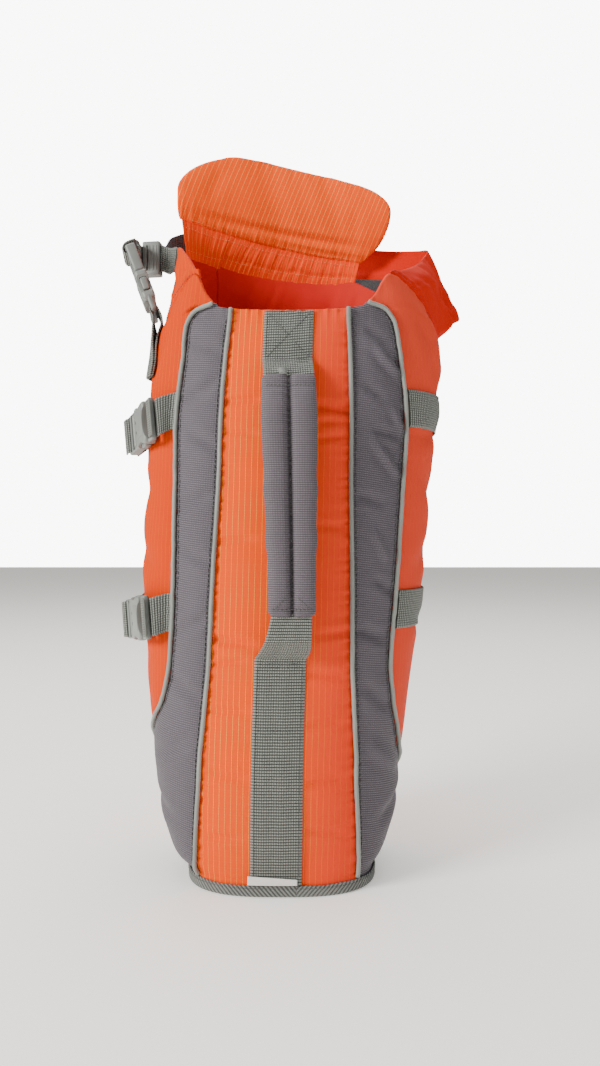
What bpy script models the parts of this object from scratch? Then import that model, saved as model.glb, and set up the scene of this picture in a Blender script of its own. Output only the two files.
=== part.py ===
"""Dog life jacket, filled out and standing on its tail hem with its spine side towards -Y.

Lengths are metres. X runs across the back, Z from the tail hem up to the neck. The cloth is a tube
of padded panels. A place on it is given by its height, by its distance along the cloth from the
spine line (plus to +X), and by how far it lies outside the seams.
"""

import math
from collections import namedtuple
from functools import lru_cache

import bmesh
import bpy
import numpy as np
from mathutils import Matrix, Vector

# Driving dimensions
GAP = 0.0003
SEAM_WALL = 0.003
HEM_HEIGHT = 0.0090
HEM_TAPE = 0.0015
PIPING_RADIUS = 0.0017
SPINE_WEBBING = 0.039
STRAP_WEBBING = 0.030
WEBBING_WALL = 0.0016
GRIP_TOP = 0.4050
GRIP_BOTTOM = 0.2180
NECK_STRAP = 0.024
BACK_SQUARENESS = 2.1
RING_POINTS = 360

# The trunk's outline at each height: middle is its middle in X, spine_x and spine_y its nearest line,
# and square how squarely its spine side turns into its sides.
Section = namedtuple("Section", "height half_width front back middle spine_x spine_y square")
SECTIONS = (
    Section(0.012, 0.0755, 0.058, 0.077, -0.0020, -0.0056, -0.0015, 2.8),
    Section(0.019, 0.0845, 0.061, 0.079, -0.0045, -0.0055, -0.0015, 2.7),
    Section(0.030, 0.0905, 0.064, 0.080, -0.0050, -0.0053, -0.0015, 2.5),
    Section(0.055, 0.0968, 0.068, 0.081, -0.0052, -0.0050, -0.0015, 2.4),
    Section(0.090, 0.1018, 0.073, 0.082, -0.0062, -0.0045, -0.0010, 2.4),
    Section(0.130, 0.1062, 0.077, 0.083, -0.0056, -0.0035, 0.0010, 2.4),
    Section(0.190, 0.1122, 0.082, 0.085, -0.0034, -0.0020, 0.0040, 2.4),
    Section(0.260, 0.1190, 0.086, 0.087, -0.0010, -0.0005, 0.0085, 2.4),
    Section(0.330, 0.1210, 0.088, 0.088, 0.0036, 0.0010, 0.0140, 2.4),
    Section(0.385, 0.1240, 0.088, 0.088, 0.0065, 0.0020, 0.0190, 2.4),
    Section(0.435, 0.1240, 0.087, 0.086, 0.0110, 0.0035, 0.0245, 2.4),
    Section(0.470, 0.1190, 0.085, 0.083, 0.0120, 0.0045, 0.0290, 2.4),
    Section(0.510, 0.1085, 0.082, 0.079, 0.0080, 0.0045, 0.0350, 2.4),
    Section(0.560, 0.1000, 0.078, 0.072, 0.0030, 0.0045, 0.0440, 2.4),
)

# How far from the spine line each seam runs, along the cloth.
Seams = namedtuple("Seams", "height inner left right belly")
SEAMS = (
    Seams(0.012, 0.0650, 0.184, 0.182, 0.199),
    Seams(0.030, 0.0650, 0.183, 0.180, 0.209),
    Seams(0.060, 0.0635, 0.177, 0.168, 0.218),
    Seams(0.085, 0.0620, 0.166, 0.142, 0.223),
    Seams(0.105, 0.0615, 0.150, 0.116, 0.226),
    Seams(0.125, 0.0600, 0.122, 0.106, 0.228),
    Seams(0.145, 0.0585, 0.103, 0.098, 0.230),
    Seams(0.175, 0.0565, 0.094, 0.0925, 0.232),
    Seams(0.240, 0.0550, 0.091, 0.096, 0.236),
    Seams(0.320, 0.0525, 0.093, 0.100, 0.241),
    Seams(0.375, 0.0520, 0.094, 0.102, 0.243),
    Seams(0.425, 0.0500, 0.090, 0.094, 0.240),
    Seams(0.453, 0.0480, 0.089, 0.088, 0.235),
    Seams(0.461, 0.0477, 0.085, 0.083, 0.232),
    Seams(0.466, 0.0476, 0.078, 0.077, 0.231),
    Seams(0.470, 0.0475, 0.064, 0.064, 0.230),
    Seams(0.560, 0.0470, 0.064, 0.064, 0.205),
)

# The side panels' arched top edges, and the neck edge of the left wing, from the spine outwards.
Edge = namedtuple("Edge", "along height")
LEFT_ARCH = (
    Edge(0.064, 0.4705),
    Edge(0.073, 0.4810),
    Edge(0.084, 0.4990),
    Edge(0.100, 0.4900),
    Edge(0.120, 0.4760),
    Edge(0.140, 0.4630),
    Edge(0.165, 0.4560),
    Edge(0.240, 0.4530),
)
RIGHT_ARCH = (
    Edge(0.064, 0.4700),
    Edge(0.071, 0.4770),
    Edge(0.080, 0.4915),
    Edge(0.087, 0.4985),
    Edge(0.100, 0.4950),
    Edge(0.132, 0.4770),
    Edge(0.152, 0.4590),
    Edge(0.175, 0.4530),
    Edge(0.240, 0.4520),
)
LEFT_NECK = (
    Edge(0.084, 0.5030),
    Edge(0.099, 0.5195),
    Edge(0.120, 0.5340),
    Edge(0.150, 0.5400),
    Edge(0.205, 0.5440),
)
SPINE_NECK = 0.4615
PIPING_NECK = 0.4640
CHEST_LEFT, CHEST_RIGHT = 0.5470, 0.5290
CHEST_COLUMNS, CHEST_DIP = 9, 0.0110

# Rows run up a panel as fractions of its height, closer together at the hem tape and at the neck.
ROWS = (0.0, 0.0200, 0.034, *np.linspace(0.060, 0.960, 25), 0.974, 0.988, 1.0)
CHEST_ROWS = (1.25, 1.5, 1.75, 2.0)

UPPER_STRAP, LOWER_STRAP = 0.3840, 0.2190
# Where each belly buckle lies on the left side panel: its bar, then its tip, and its outer side.
PanelSpot = namedtuple("PanelSpot", "share height out")
UPPER_SEAT = (PanelSpot(0.905, 0.3760, 0.0122), PanelSpot(0.50, 0.3655, 0.0185), (-0.72, -0.69, 0))
LOWER_SEAT = (PanelSpot(0.895, 0.2130, 0.0120), PanelSpot(0.48, 0.2045, 0.0185), (-0.70, -0.71, 0))
NECK_SEAT = ((-0.1170, 0.1000, 0.4760), (-0.1430, 0.1060, 0.5430), (-1, -0.12, 0))

ORANGE, DARK_ORANGE, GREY_CLOTH = (0.84, 0.14, 0.045), (0.62, 0.06, 0.03), (0.20, 0.18, 0.21)
TAPE, BUCKLE, WHITE, BLACK = (0.16, 0.18, 0.16), (0.30, 0.32, 0.31), (0.85, 0.85, 0.83), (0.03, 0.03, 0.035)


def read(rows, at, column):
    """A column of a table at a value of its first column, on a smooth curve through the rows."""
    keys = [row[0] for row in rows]
    values = [getattr(row, column) for row in rows]
    at = min(max(at, keys[0]), keys[-1])
    low = max(i for i in range(len(keys) - 1) if keys[i] <= at)

    def slope(i):
        before, after = max(i - 1, 0), min(i + 1, len(keys) - 1)
        return (values[after] - values[before]) / (keys[after] - keys[before])

    span = keys[low + 1] - keys[low]
    t = (at - keys[low]) / span
    rise, fall = t * t * (3 - 2 * t), (1 - t) * (1 - t) * (1 + 2 * t)
    bend = span * (t * (1 - t) * (1 - t) * slope(low) - t * t * (1 - t) * slope(low + 1))
    return fall * values[low] + rise * values[low + 1] + bend


def mix(first, second, share):
    return first + (second - first) * share


def ramp(value, low, high):
    """0 below low, 1 above high and a soft rise between."""
    t = min(max((value - low) / (high - low), 0.0), 1.0)
    return t * t * (3 - 2 * t)


@lru_cache(maxsize=None)
def ring(height):
    """The trunk's outline at a height: X, Y and the distance along the cloth from the spine line."""
    half, front, back, middle, spine_x, spine_y, square = (
        read(SECTIONS, height, column) for column in Section._fields[1:]
    )
    turn = np.linspace(-math.pi, math.pi, RING_POINTS + 1)
    across, ahead = np.sin(turn), np.cos(turn)
    power = np.where(ahead > 0, 2 / square, 2 / BACK_SQUARENESS)
    x = middle + half * np.sign(across) * np.abs(across) ** power
    reach = np.where(ahead > 0, front, back)
    y = spine_y + front - reach * np.sign(ahead) * np.abs(ahead) ** power
    along = np.concatenate([[0.0], np.cumsum(np.hypot(np.diff(x), np.diff(y)))])
    near = slice(RING_POINTS // 4, 3 * RING_POINTS // 4)
    return x, y, along - np.interp(spine_x, x[near], along[near])


def half_girth(height, side):
    """The distance along the cloth from the spine line to the middle of the belly."""
    along = ring(height)[2]
    return along[-1] if side > 0 else -along[0]


def trunk_point(along, height, out):
    """The point at a place on the cloth, moved outside the seams by a distance."""
    height_key = round(float(height), 5)
    x, y, distance = ring(height_key)
    total = distance[-1] - distance[0]
    along = (along - distance[0]) % total + distance[0]
    step = 0.004

    def at(place):
        place = (place - distance[0]) % total + distance[0]
        return np.array([np.interp(place, distance, x), np.interp(place, distance, y)])

    run = at(along + step) - at(along - step)
    run /= np.linalg.norm(run)
    place = at(along) + out * np.array([run[1], -run[0]])
    return Vector((place[0], place[1], height))


def half_gap(seam_line, height):
    """Half the gap at a seam, measured along the cloth's level and so more where the seam slants."""
    reach = 0.002
    slant = (seam_line(height + reach) - seam_line(height - reach)) / (2 * reach)
    return GAP / 2 * math.hypot(1.0, slant)


class Panel:
    """A padded panel of the trunk between two seams, from the hem to its own top edge."""

    def __init__(self, name, near, far, top, columns, puff, wall, paint, chest=None):
        self.name, self.near, self.far, self.top = name, near, far, chest or top
        self.columns, self.puff, self.wall, self.paint = columns, puff, wall, paint
        self.sewn_top, self.rows = top, ROWS + (CHEST_ROWS if chest else ())

    def along(self, share, height):
        near = self.near(height) + half_gap(self.near, height)
        far = self.far(height) - half_gap(self.far, height)
        return mix(near, far, share)

    def fullness(self, share, height):
        """How filled the panel is, from 0 at its seams, hem and neck to 1 in its middle."""
        across = (4 * share * (1 - share)) ** 0.75
        return across * ramp(height, 0.012, 0.060) * ramp(self.top(share) - height, 0.0, 0.030)

    def point(self, share, height, out=0.0):
        """A point of the outer face, moved out from it."""
        out += self.puff * self.fullness(share, height)
        return trunk_point(self.along(share, height), height, out)

    def height(self, share, row):
        """The height of a row: up to 1 it follows the neighbours' rows, and above it the chest's."""
        if row <= 1:
            return mix(HEM_TAPE + GAP, self.sewn_top(share), row)
        return mix(self.sewn_top(share), self.top(share), row - 1)

    def grid(self, depth):
        """Rows of points at a share of the wall's depth."""
        rows = []
        for row in self.rows:
            points = []
            for share in self.columns:
                height = self.height(share, row)
                wall = mix(SEAM_WALL, self.wall, self.fullness(share, height))
                points.append(self.point(share, height, -depth * wall))
            rows.append(points)
        return rows

    def build(self):
        return wall_between(self.name, self.grid(0.0), self.grid(1.0), self.paint)


def even(count):
    return tuple(i / count for i in range(count + 1))


def seam(column, side):
    return lambda height: side * read(SEAMS, height, column)


def arch_top(edges, near, far):
    """A side panel's top edge as a function of the share across it."""

    def top(share):
        height = edges[0].height
        for _ in range(4):
            height = read(edges, abs(mix(near(height), far(height), share)), "height")
        return height

    return top


def chest_top(share):
    """The chest's top edge as a function of the share across it, with its right corner cut down."""
    corner = max(0.0, 1 - CHEST_COLUMNS * max(share, 0.0))
    return mix(CHEST_RIGHT, CHEST_LEFT, share) - CHEST_DIP * corner


def panels():
    """The trunk's six panels, in order round it from the spine line to +X and back."""
    inner = read(SEAMS, 0.3, "inner")
    webbing = SPINE_WEBBING / 2 / inner
    spine_columns = tuple(0.5 + x / 2 for x in (-1, -0.86, -0.6, -webbing, 0, webbing, 0.6, 0.86, 1))
    dorsal = Panel(
        "dorsal_panel", seam("inner", -1), seam("inner", 1),
        lambda share: mix(SPINE_NECK, PIPING_NECK, abs(2 * share - 1) ** 2),
        spine_columns, 0.004, 0.008, ORANGE,
    )
    made = [dorsal]
    for word, side, edges in (("right", 1, RIGHT_ARCH), ("left", -1, LEFT_ARCH)):
        inner_seam, outer_seam, belly_seam = seam("inner", side), seam(word, side), seam("belly", side)
        grey_top = edges[0].height
        spine_panel = Panel(
            f"spine_panel_{word}",
            *((inner_seam, outer_seam) if side > 0 else (outer_seam, inner_seam)),
            (lambda share, high=grey_top: mix(PIPING_NECK, high, share)) if side > 0
            else (lambda share, high=grey_top: mix(high, PIPING_NECK, share)),
            even(8), 0.0020, 0.005, GREY_CLOTH,
        )
        near, far = (outer_seam, belly_seam) if side > 0 else (belly_seam, outer_seam)
        side_panel = Panel(
            f"side_panel_{word}", near, far, arch_top(edges, near, far),
            (0, 0.03, 0.07, 0.12, 0.18, 0.26, 0.36, 0.47, 0.58, 0.69, 0.8, 0.9, 1)
            if side > 0
            else (0, 0.1, 0.2, 0.31, 0.42, 0.53, 0.64, 0.74, 0.82, 0.88, 0.93, 0.97, 1),
            0.0040, 0.010, ORANGE,
        )
        made += [spine_panel, side_panel] if side > 0 else [side_panel, spine_panel]
    right_side, left_side = made[2], made[3]
    belly = Panel(
        "belly_panel", seam("belly", 1),
        lambda height: half_girth(height, 1) + half_girth(height, -1) - read(SEAMS, height, "belly"),
        lambda share: mix(right_side.top(1), left_side.top(0), share),
        even(CHEST_COLUMNS), 0.0015, 0.006, DARK_ORANGE,
        chest=chest_top,
    )
    made.insert(3, belly)
    return made


# Building helpers


def paint_of(colour, roughness):
    name = "_".join(f"{round(255 * part):02x}" for part in colour)
    material = bpy.data.materials.get(name) or bpy.data.materials.new(name)
    material.use_nodes = True
    shader = material.node_tree.nodes["Principled BSDF"]
    shader.inputs["Base Color"].default_value = (*colour, 1)
    shader.inputs["Roughness"].default_value = roughness
    shader.inputs["Metallic"].default_value = 0.0
    return material


def finish(obj, colour, roughness=0.8):
    """Puts an object in the jacket's collection, with its material."""
    jacket = bpy.data.collections["dog_life_jacket"]
    for collection in obj.users_collection:
        collection.objects.unlink(obj)
    jacket.objects.link(obj)
    obj.data.materials.clear()
    obj.data.materials.append(paint_of(colour, roughness))
    return obj


def object_from(name, points, faces, colour, smooth=True):
    mesh = bpy.data.meshes.new(name)
    mesh.from_pydata(points, [], faces)
    work = bmesh.new()
    work.from_mesh(mesh)
    bmesh.ops.recalc_face_normals(work, faces=work.faces)
    work.to_mesh(mesh)
    work.free()
    if smooth:
        mesh.shade_smooth()
        mesh.set_sharp_from_angle(angle=math.radians(40))
    obj = bpy.data.objects.new(name, mesh)
    bpy.context.scene.collection.objects.link(obj)
    return finish(obj, colour)


def wall_between(name, outer, inner, colour):
    """A closed wall between two equal grids of points."""
    rows, columns = len(outer), len(outer[0])
    points = [point for grid in (outer, inner) for row in grid for point in row]
    faces = []

    def index(layer, row, column):
        return (layer * rows + row) * columns + column

    for layer in (0, 1):
        for row in range(rows - 1):
            for column in range(columns - 1):
                corners = [(row, column), (row, column + 1), (row + 1, column + 1), (row + 1, column)]
                faces.append([index(layer, *corner) for corner in corners])
    rim = [(0, column) for column in range(columns)]
    rim += [(row, columns - 1) for row in range(1, rows)]
    rim += [(rows - 1, column) for column in range(columns - 2, -1, -1)]
    rim += [(row, 0) for row in range(rows - 2, 0, -1)]
    for here, there in zip(rim, rim[1:] + rim[:1]):
        faces.append([index(0, *here), index(1, *here), index(1, *there), index(0, *there)])
    return object_from(name, points, faces, colour)


def loft(name, sections, colour, closed=False):
    """Skins equal closed sections in turn, with flat caps unless the last one joins the first."""
    count, size = len(sections), len(sections[0])
    points = [point for section in sections for point in section]
    faces = []
    for i in range(count if closed else count - 1):
        here, there = i * size, (i + 1) % count * size
        for j in range(size):
            k = (j + 1) % size
            faces.append([here + j, here + k, there + k, there + j])
    if not closed:
        faces.append(list(range(size)))
        faces.append(list(range((count - 1) * size, count * size)))
    return object_from(name, points, faces, colour)


def rope(name, points, radius, colour):
    """A round cord through points, as a curve with filled caps."""
    curve = bpy.data.curves.new(name, "CURVE")
    curve.dimensions = "3D"
    curve.bevel_depth = radius
    curve.bevel_resolution = 1
    curve.use_fill_caps = True
    spline = curve.splines.new("POLY")
    spline.points.add(len(points) - 1)
    for spot, point in zip(spline.points, points):
        spot.co = (*point, 1)
    obj = bpy.data.objects.new(name, curve)
    bpy.context.scene.collection.objects.link(obj)
    return finish(obj, colour)


def band_section(middle, over, out, width, wall=WEBBING_WALL):
    """The four corners of a flat band's section, from its middle and its two directions."""
    half, rise = over.normalized() * width / 2, out.normalized() * wall / 2
    return [middle - half - rise, middle + half - rise, middle + half + rise, middle - half + rise]


# The trunk: hem tape, piping and spine webbing


def hem_binding(made):
    """The tape folded round the hem, which the jacket stands on."""
    outer, inner = GAP + HEM_TAPE, -SEAM_WALL - GAP - HEM_TAPE
    profile = (
        (outer, 0.0), (outer, HEM_HEIGHT), (GAP, HEM_HEIGHT), (GAP, HEM_TAPE),
        (-SEAM_WALL - GAP, HEM_TAPE), (-SEAM_WALL - GAP, HEM_HEIGHT), (inner, HEM_HEIGHT), (inner, 0.0),
    )
    sections = []
    for panel in made:
        for share in panel.columns[:-1]:
            sections.append([
                trunk_point(panel.along(share, height), height, out) for out, height in profile
            ])
    loft("tail_binding", sections, TAPE, closed=True)


def pipings(made):
    """A cord on each of the four long seams beside the spine, from the hem tape to the neck."""
    by_name = {panel.name: panel for panel in made}
    for name, panel_name, share in (
        ("inner_piping_right", "spine_panel_right", 0),
        ("outer_piping_right", "spine_panel_right", 1),
        ("inner_piping_left", "spine_panel_left", 1),
        ("outer_piping_left", "spine_panel_left", 0),
    ):
        panel = by_name[panel_name]
        points = []
        for row in ROWS[1:]:
            height = panel.height(share, row)
            points.append(panel.point(share, height, GAP + 1.35 * PIPING_RADIUS))
        rope(name, points, PIPING_RADIUS, TAPE)


Lift = namedtuple("Lift", "height off half_width shift")
# The spine webbing and the grip along the back: how far each lies off the panel.
GRIP_LIFT = (
    Lift(0.2180, 0.0175, 0.0172, 0.0085),
    Lift(0.2240, 0.0180, 0.0178, 0.0083),
    Lift(0.2600, 0.0185, 0.0188, 0.0072),
    Lift(0.3200, 0.0180, 0.0205, 0.0050),
    Lift(0.3700, 0.0155, 0.0215, 0.0032),
    Lift(0.3980, 0.0115, 0.0220, 0.0020),
    Lift(0.4050, 0.0100, 0.0218, 0.0018),
)
FLAT_LIFT = 0.004
GRIP_THICKNESS = 0.011
GRIP_ROWS = (0.2180, 0.2240, 0.2400, 0.2620, 0.2850, 0.3080, 0.3310, 0.3540, 0.3770, 0.3980, 0.4050)
GRIP_ENDS, GRIP_END_SHARE = 0.020, 0.62
TROUGH = 0.0028
# The grip's section, as shares of its half width and of half its thickness, from the trough round.
Corner = namedtuple("Corner", "across out")
GRIP_SECTION = (
    Corner(0.30, -1.0), Corner(0.72, -0.88), Corner(1.0, -0.25), Corner(1.0, 0.3), Corner(0.7, 0.8),
    Corner(0.0, 0.85), Corner(-0.7, 0.8), Corner(-1.0, 0.3), Corner(-1.0, -0.25), Corner(-0.72, -0.88),
    Corner(-0.30, -1.0),
)
TOP_LIFT = (
    Lift(0.4060, 0.0100, 0.0195, 0.0018),
    Lift(0.4140, 0.0050, 0.0195, 0.0008),
    Lift(0.4200, 0.0, 0.0195, 0),
)
UPPER_ROWS = (0.4060, 0.4100, 0.4140, 0.4200, 0.4350, 0.4480, 0.4605)
LIFTING_ROWS = (0.1830, 0.1860, 0.1890, 0.1940, 0.2000, 0.2090, 0.2170)
BOTTOM_LIFT = (
    Lift(0.1830, 0.0, 0.0195, 0),
    Lift(0.1890, 0.0060, 0.0192, 0.0030),
    Lift(0.2000, 0.0150, 0.0170, 0.0060),
    Lift(0.2170, 0.0175, 0.0150, 0.0080),
)


def on_spine(dorsal, height, off, shift, half_width, out):
    """A row of three points across the webbing, off the dorsal panel's outer face."""
    row = [dorsal.point(share, height, GAP + off + out) for share in dorsal.columns[3:6]]
    middle = row[1]
    for i, side in ((0, -1), (2, 1)):
        row[i].x = middle.x + side * half_width
    for point in row:
        point.x += shift
        point.y = mix(point.y, middle.y, min(1.0, off / FLAT_LIFT))
    return row


def spine_webbing(dorsal):
    """Upper and lower runs, each lying on the panel and lifting off it to the grip."""
    lying_low = [HEM_HEIGHT + 2 * GAP] + [dorsal.height(0.5, row) for row in ROWS[2:]]
    lower = [height for height in lying_low if height < BOTTOM_LIFT[0].height - 0.003]
    for name, heights, lifts in (
        ("spine_webbing_upper", UPPER_ROWS, TOP_LIFT),
        ("spine_webbing_lower", (*lower, *LIFTING_ROWS), BOTTOM_LIFT),
    ):
        sections = []
        for height in heights:
            off, half, shift = (read(lifts, height, column) for column in ("off", "half_width", "shift"))
            inside = on_spine(dorsal, height, off, shift, half, 0.0)
            outside = on_spine(dorsal, height, off, shift, half, WEBBING_WALL)
            sections.append(inside + outside[::-1])
        loft(name, sections, TAPE)


def handle_grip(dorsal):
    """The padded sleeve on the webbing, with a sewn trough down its middle."""
    sections = []
    for height in GRIP_ROWS:
        half = read(GRIP_LIFT, height, "half_width")
        middle = dorsal.point(0.5, height, GAP + read(GRIP_LIFT, height, "off") + WEBBING_WALL / 2)
        middle.x += read(GRIP_LIFT, height, "shift")
        fullness = ramp(min(height - GRIP_BOTTOM, GRIP_TOP - height), 0, GRIP_ENDS)
        plump = 0.5 * GRIP_THICKNESS * mix(GRIP_END_SHARE, 1.0, fullness)
        corners = (Corner(0.0, TROUGH / plump - 1), *GRIP_SECTION)
        sections.append([middle + Vector((corner.across * half, corner.out * plump, 0)) for corner in corners])
    loft("handle_grip", sections, GREY_CLOTH)


LabelEnd = namedtuple("LabelEnd", "along top")
LABEL_LEFT, LABEL_RIGHT = LabelEnd(-0.0215, 0.0170), LabelEnd(0.0163, 0.0146)
LABEL_WALL = 0.0006


def hem_label(dorsal):
    """The small label sewn into the hem tape, across the webbing's lower end."""
    sections = []
    low, away = HEM_HEIGHT + 3 * GAP, 3 * GAP + WEBBING_WALL
    span = dorsal.far(low) - dorsal.near(low)
    for part in even(4):
        share = 0.5 + mix(LABEL_LEFT.along, LABEL_RIGHT.along, part) / span
        high = mix(LABEL_LEFT.top, LABEL_RIGHT.top, part)
        sections.append([
            dorsal.point(share, height, away + out)
            for height, out in ((low, 0), (high, 0), (high, LABEL_WALL), (low, LABEL_WALL))
        ])
    loft("hem_label", sections, WHITE)


# The neck: wings, float and its root


LEFT_WING_SHARE, LEAST_WING = 0.9, 0.004


def wing_left(panel):
    """The neck piece between the left side panel's arch and the chest, lying close."""
    shares = [share for share in panel.columns if share < LEFT_WING_SHARE]
    outer, inner = [], []
    for row in even(3):
        outside, inside = [], []
        for share in shares:
            arch = panel.top(share)
            along = panel.along(share, arch)
            low = arch + 2 * GAP
            height = mix(low, max(read(LEFT_NECK, -along, "height"), low + LEAST_WING), row)
            along = max(along, 2 * GAP - read(SEAMS, height, "belly"))
            outside.append(trunk_point(along, height, 0.0))
            inside.append(trunk_point(along, height, -SEAM_WALL))
        outer.append(outside)
        inner.append(inside)
    wall_between("neck_wing_left", outer, inner, ORANGE)


WING_FOLD_TOP = Vector((0.1375, 0.160, 0.5560))
WING_FOLD_FOOT = Vector((0.1665, 0.150, 0.4860))
WING_WALL = 0.003
PATCH_WALL = 0.0012
PATCH_COLUMNS, PATCH_ROWS = (6.6, 7.0, 7.9), (3.4, 4.0, 4.5, 4.9)
# The right wing's rows, by the share across the side panel that each starts at. The flap's free fold
# ends at FLAP_FOOT, and the rows after it close the flap down onto the arch.
WING_SHARES = (0.150, 0.180, 0.260, 0.306, 0.360, 0.470, 0.560, 0.680, 0.800, 0.900, 0.970)
FLAP_FOOT, CLOSED_SHARE = 0.560, 0.05
WING_CHEST_TOP, FLAP_CHEST_FOOT, WING_CHEST_FOOT = 0.5750, 0.4800, 0.4560
WING_LAP, WING_LAP_OUT = 0.022, 0.005
WING_LEAN = 0.022
WING_SWELL = Vector((0.35, -0.8, 0.35)).normalized() * 0.006
BEFORE_FOLD, AFTER_FOLD = 0.010, 0.008
HOLLOW_NEAR, HOLLOW_FAR = Vector((0, 0.003, 0)), Vector((0, 0.006, 0))
# How far the wing's neck edge hangs down at each of its first columns, from the spine side to the fold.
NECK_SLACK = (0.0, 0.0068, 0.0082, 0.0042)


def between(grid, row, column):
    """A point of a grid at a row and column that may lie between its own."""
    i, j = min(int(row), len(grid) - 2), min(int(column), len(grid[0]) - 2)
    low = mix(grid[i][j], grid[i][j + 1], column - j)
    high = mix(grid[i + 1][j], grid[i + 1][j + 1], column - j)
    return mix(low, high, row - i)


def chest_end(down, closing):
    """Where a row of the right wing ends on the chest, whose top edge it laps over."""
    height = mix(mix(WING_CHEST_TOP, FLAP_CHEST_FOOT, down), WING_CHEST_FOOT, closing)
    lap = WING_LAP * ramp(height, CHEST_RIGHT - 0.018, CHEST_RIGHT - 0.008)
    out = WING_LAP_OUT * ramp(height, CHEST_RIGHT - 0.060, CHEST_RIGHT - 0.030)
    end = trunk_point(read(SEAMS, height, "belly") - 5 * GAP + lap, height, out)
    end.y += WING_LEAN * ramp(height, 0.525, 0.570)
    return end


def wing_row(panel, share):
    """A row of the right wing's outer face, from its neck edge over the fold to the chest."""
    down = min(1.0, (share - WING_SHARES[0]) / (FLAP_FOOT - WING_SHARES[0]))
    closing = max(0.0, (share - FLAP_FOOT) / (WING_SHARES[-1] - FLAP_FOOT))
    top = panel.top(share)
    near = trunk_point(panel.along(share, top), top + 6 * GAP, 0.0005)
    chest = chest_end(down, closing)
    fold = WING_FOLD_TOP.lerp(WING_FOLD_FOOT, down).lerp(near.lerp(chest, 0.5), closing)
    edge, back = (fold - near).normalized(), (chest - fold).normalized()
    swell = WING_SWELL * math.sin(math.pi * min(1, down + 0.2))
    size = mix(1.0, CLOSED_SHARE, closing)
    points = [
        near,
        near.lerp(fold, 0.30) + swell,
        near.lerp(fold, 0.65) + swell,
        fold - edge * BEFORE_FOLD * size,
        fold,
        fold + (back * AFTER_FOLD + HOLLOW_NEAR) * size,
        fold.lerp(chest, 0.40) + HOLLOW_FAR * size,
        fold.lerp(chest, 0.72) + HOLLOW_NEAR * size,
        chest,
    ]
    for point, slack in zip(points, NECK_SLACK):
        point.z -= slack * (1 - down) ** 2
    return points


def wing_right(panel):
    """The neck flap that bulges out and folds back on the right side, and the patch in it."""
    outer = [wing_row(panel, share) for share in WING_SHARES]
    inner, outs = [], []
    for i, row in enumerate(outer):
        outs.append([])
        for j in range(len(row)):
            over = row[min(j + 1, len(row) - 1)] - row[max(j - 1, 0)]
            down = outer[min(i + 1, len(outer) - 1)][j] - outer[max(i - 1, 0)][j]
            outs[i].append(down.cross(over).normalized())
        inner.append([point - out * WING_WALL for point, out in zip(row, outs[i])])
    wall_between("neck_wing_right", outer, inner, DARK_ORANGE)

    def patch_grid(depth):
        return [
            [between(inner, row, column) - between(outs, row, column) * depth for column in PATCH_COLUMNS]
            for row in PATCH_ROWS
        ]

    wall_between("hook_patch", patch_grid(2 * GAP), patch_grid(2 * GAP + PATCH_WALL), BLACK)


FloatRow = namedtuple("FloatRow", "rise left right thickness")
FLOAT_ROWS = (
    FloatRow(0.0180, -0.0880, 0.0915, 0.004),
    FloatRow(0.0235, -0.0900, 0.0965, 0.012),
    FloatRow(0.0345, -0.0920, 0.1045, 0.018),
    FloatRow(0.0470, -0.0925, 0.1090, 0.020),
    FloatRow(0.0600, -0.0855, 0.1105, 0.020),
    FloatRow(0.0710, -0.0740, 0.1080, 0.017),
    FloatRow(0.0800, -0.0595, 0.0975, 0.013),
    FloatRow(0.0865, -0.0450, 0.0790, 0.008),
    FloatRow(0.0900, -0.0180, 0.0480, 0.004),
)
FLOAT_ROOT = Vector((-0.0195, 0.183, 0.5490))
FLOAT_TILT = math.radians(10.9)
FLOAT_LEAN, FLOAT_SKEW, FLOAT_BEND = 0.24, 0.16, 2.0
FLOAT_COLUMNS, FLOAT_RIM, FLOAT_CROWN = 10, 0.0015, 0.5


def float_place(sideways, rise):
    """A point of the float's middle surface, which leans to -Y and bends round the neck."""
    x = FLOAT_ROOT.x + sideways * math.cos(FLOAT_TILT) + rise * math.sin(FLOAT_TILT)
    z = FLOAT_ROOT.z - sideways * math.sin(FLOAT_TILT) + rise * math.cos(FLOAT_TILT)
    y = FLOAT_ROOT.y + FLOAT_SKEW * sideways - FLOAT_BEND * sideways ** 2 - FLOAT_LEAN * rise
    return Vector((x, y, z))


def chin_float():
    """The padded float that stands up from the chest, pinched at its edges."""
    shares = [0.5 - 0.5 * math.cos(math.pi * part) for part in even(FLOAT_COLUMNS)]
    front, rear = [], []
    for row in FLOAT_ROWS:
        ahead, behind = [], []
        for share in shares:
            sideways = mix(row.left, row.right, share)
            crown = (4 * share * (1 - share)) ** FLOAT_CROWN
            half = mix(FLOAT_RIM, row.thickness / 2, crown)
            place = float_place(sideways, row.rise)
            ahead.append(place + Vector((0, -half, -half * FLOAT_LEAN)))
            behind.append(place + Vector((0, half, half * FLOAT_LEAN)))
        front.append(ahead)
        rear.append(behind)
    wall_between("chin_float", front, rear, ORANGE)


ROOT_LEFT, ROOT_RIGHT = -0.162, 0.2400
ROOT_WALL, ROOT_INSET = 0.0026, 0.002
ROOT_GATHERS, GATHER_DEPTH, GATHER_START = 14, 0.0014, 0.6
RootRow = namedtuple("RootRow", "share depth")
ROOT_ROWS = (RootRow(0.0, 0.25), RootRow(0.35, 1.0), RootRow(0.7, 1.0), RootRow(1.0, 0.0))


def neck_edge(belly, along):
    """The height of the neck's edge behind the float, on the chest or on the left wing."""
    height = CHEST_LEFT
    for _ in range(4):
        across = (along - belly.near(height)) / (belly.far(height) - belly.near(height))
        round_neck = half_girth(height, 1) + half_girth(height, -1)
        height = belly.top(across) if across < 1 else read(LEFT_NECK, round_neck - along, "height")
    return height


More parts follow.
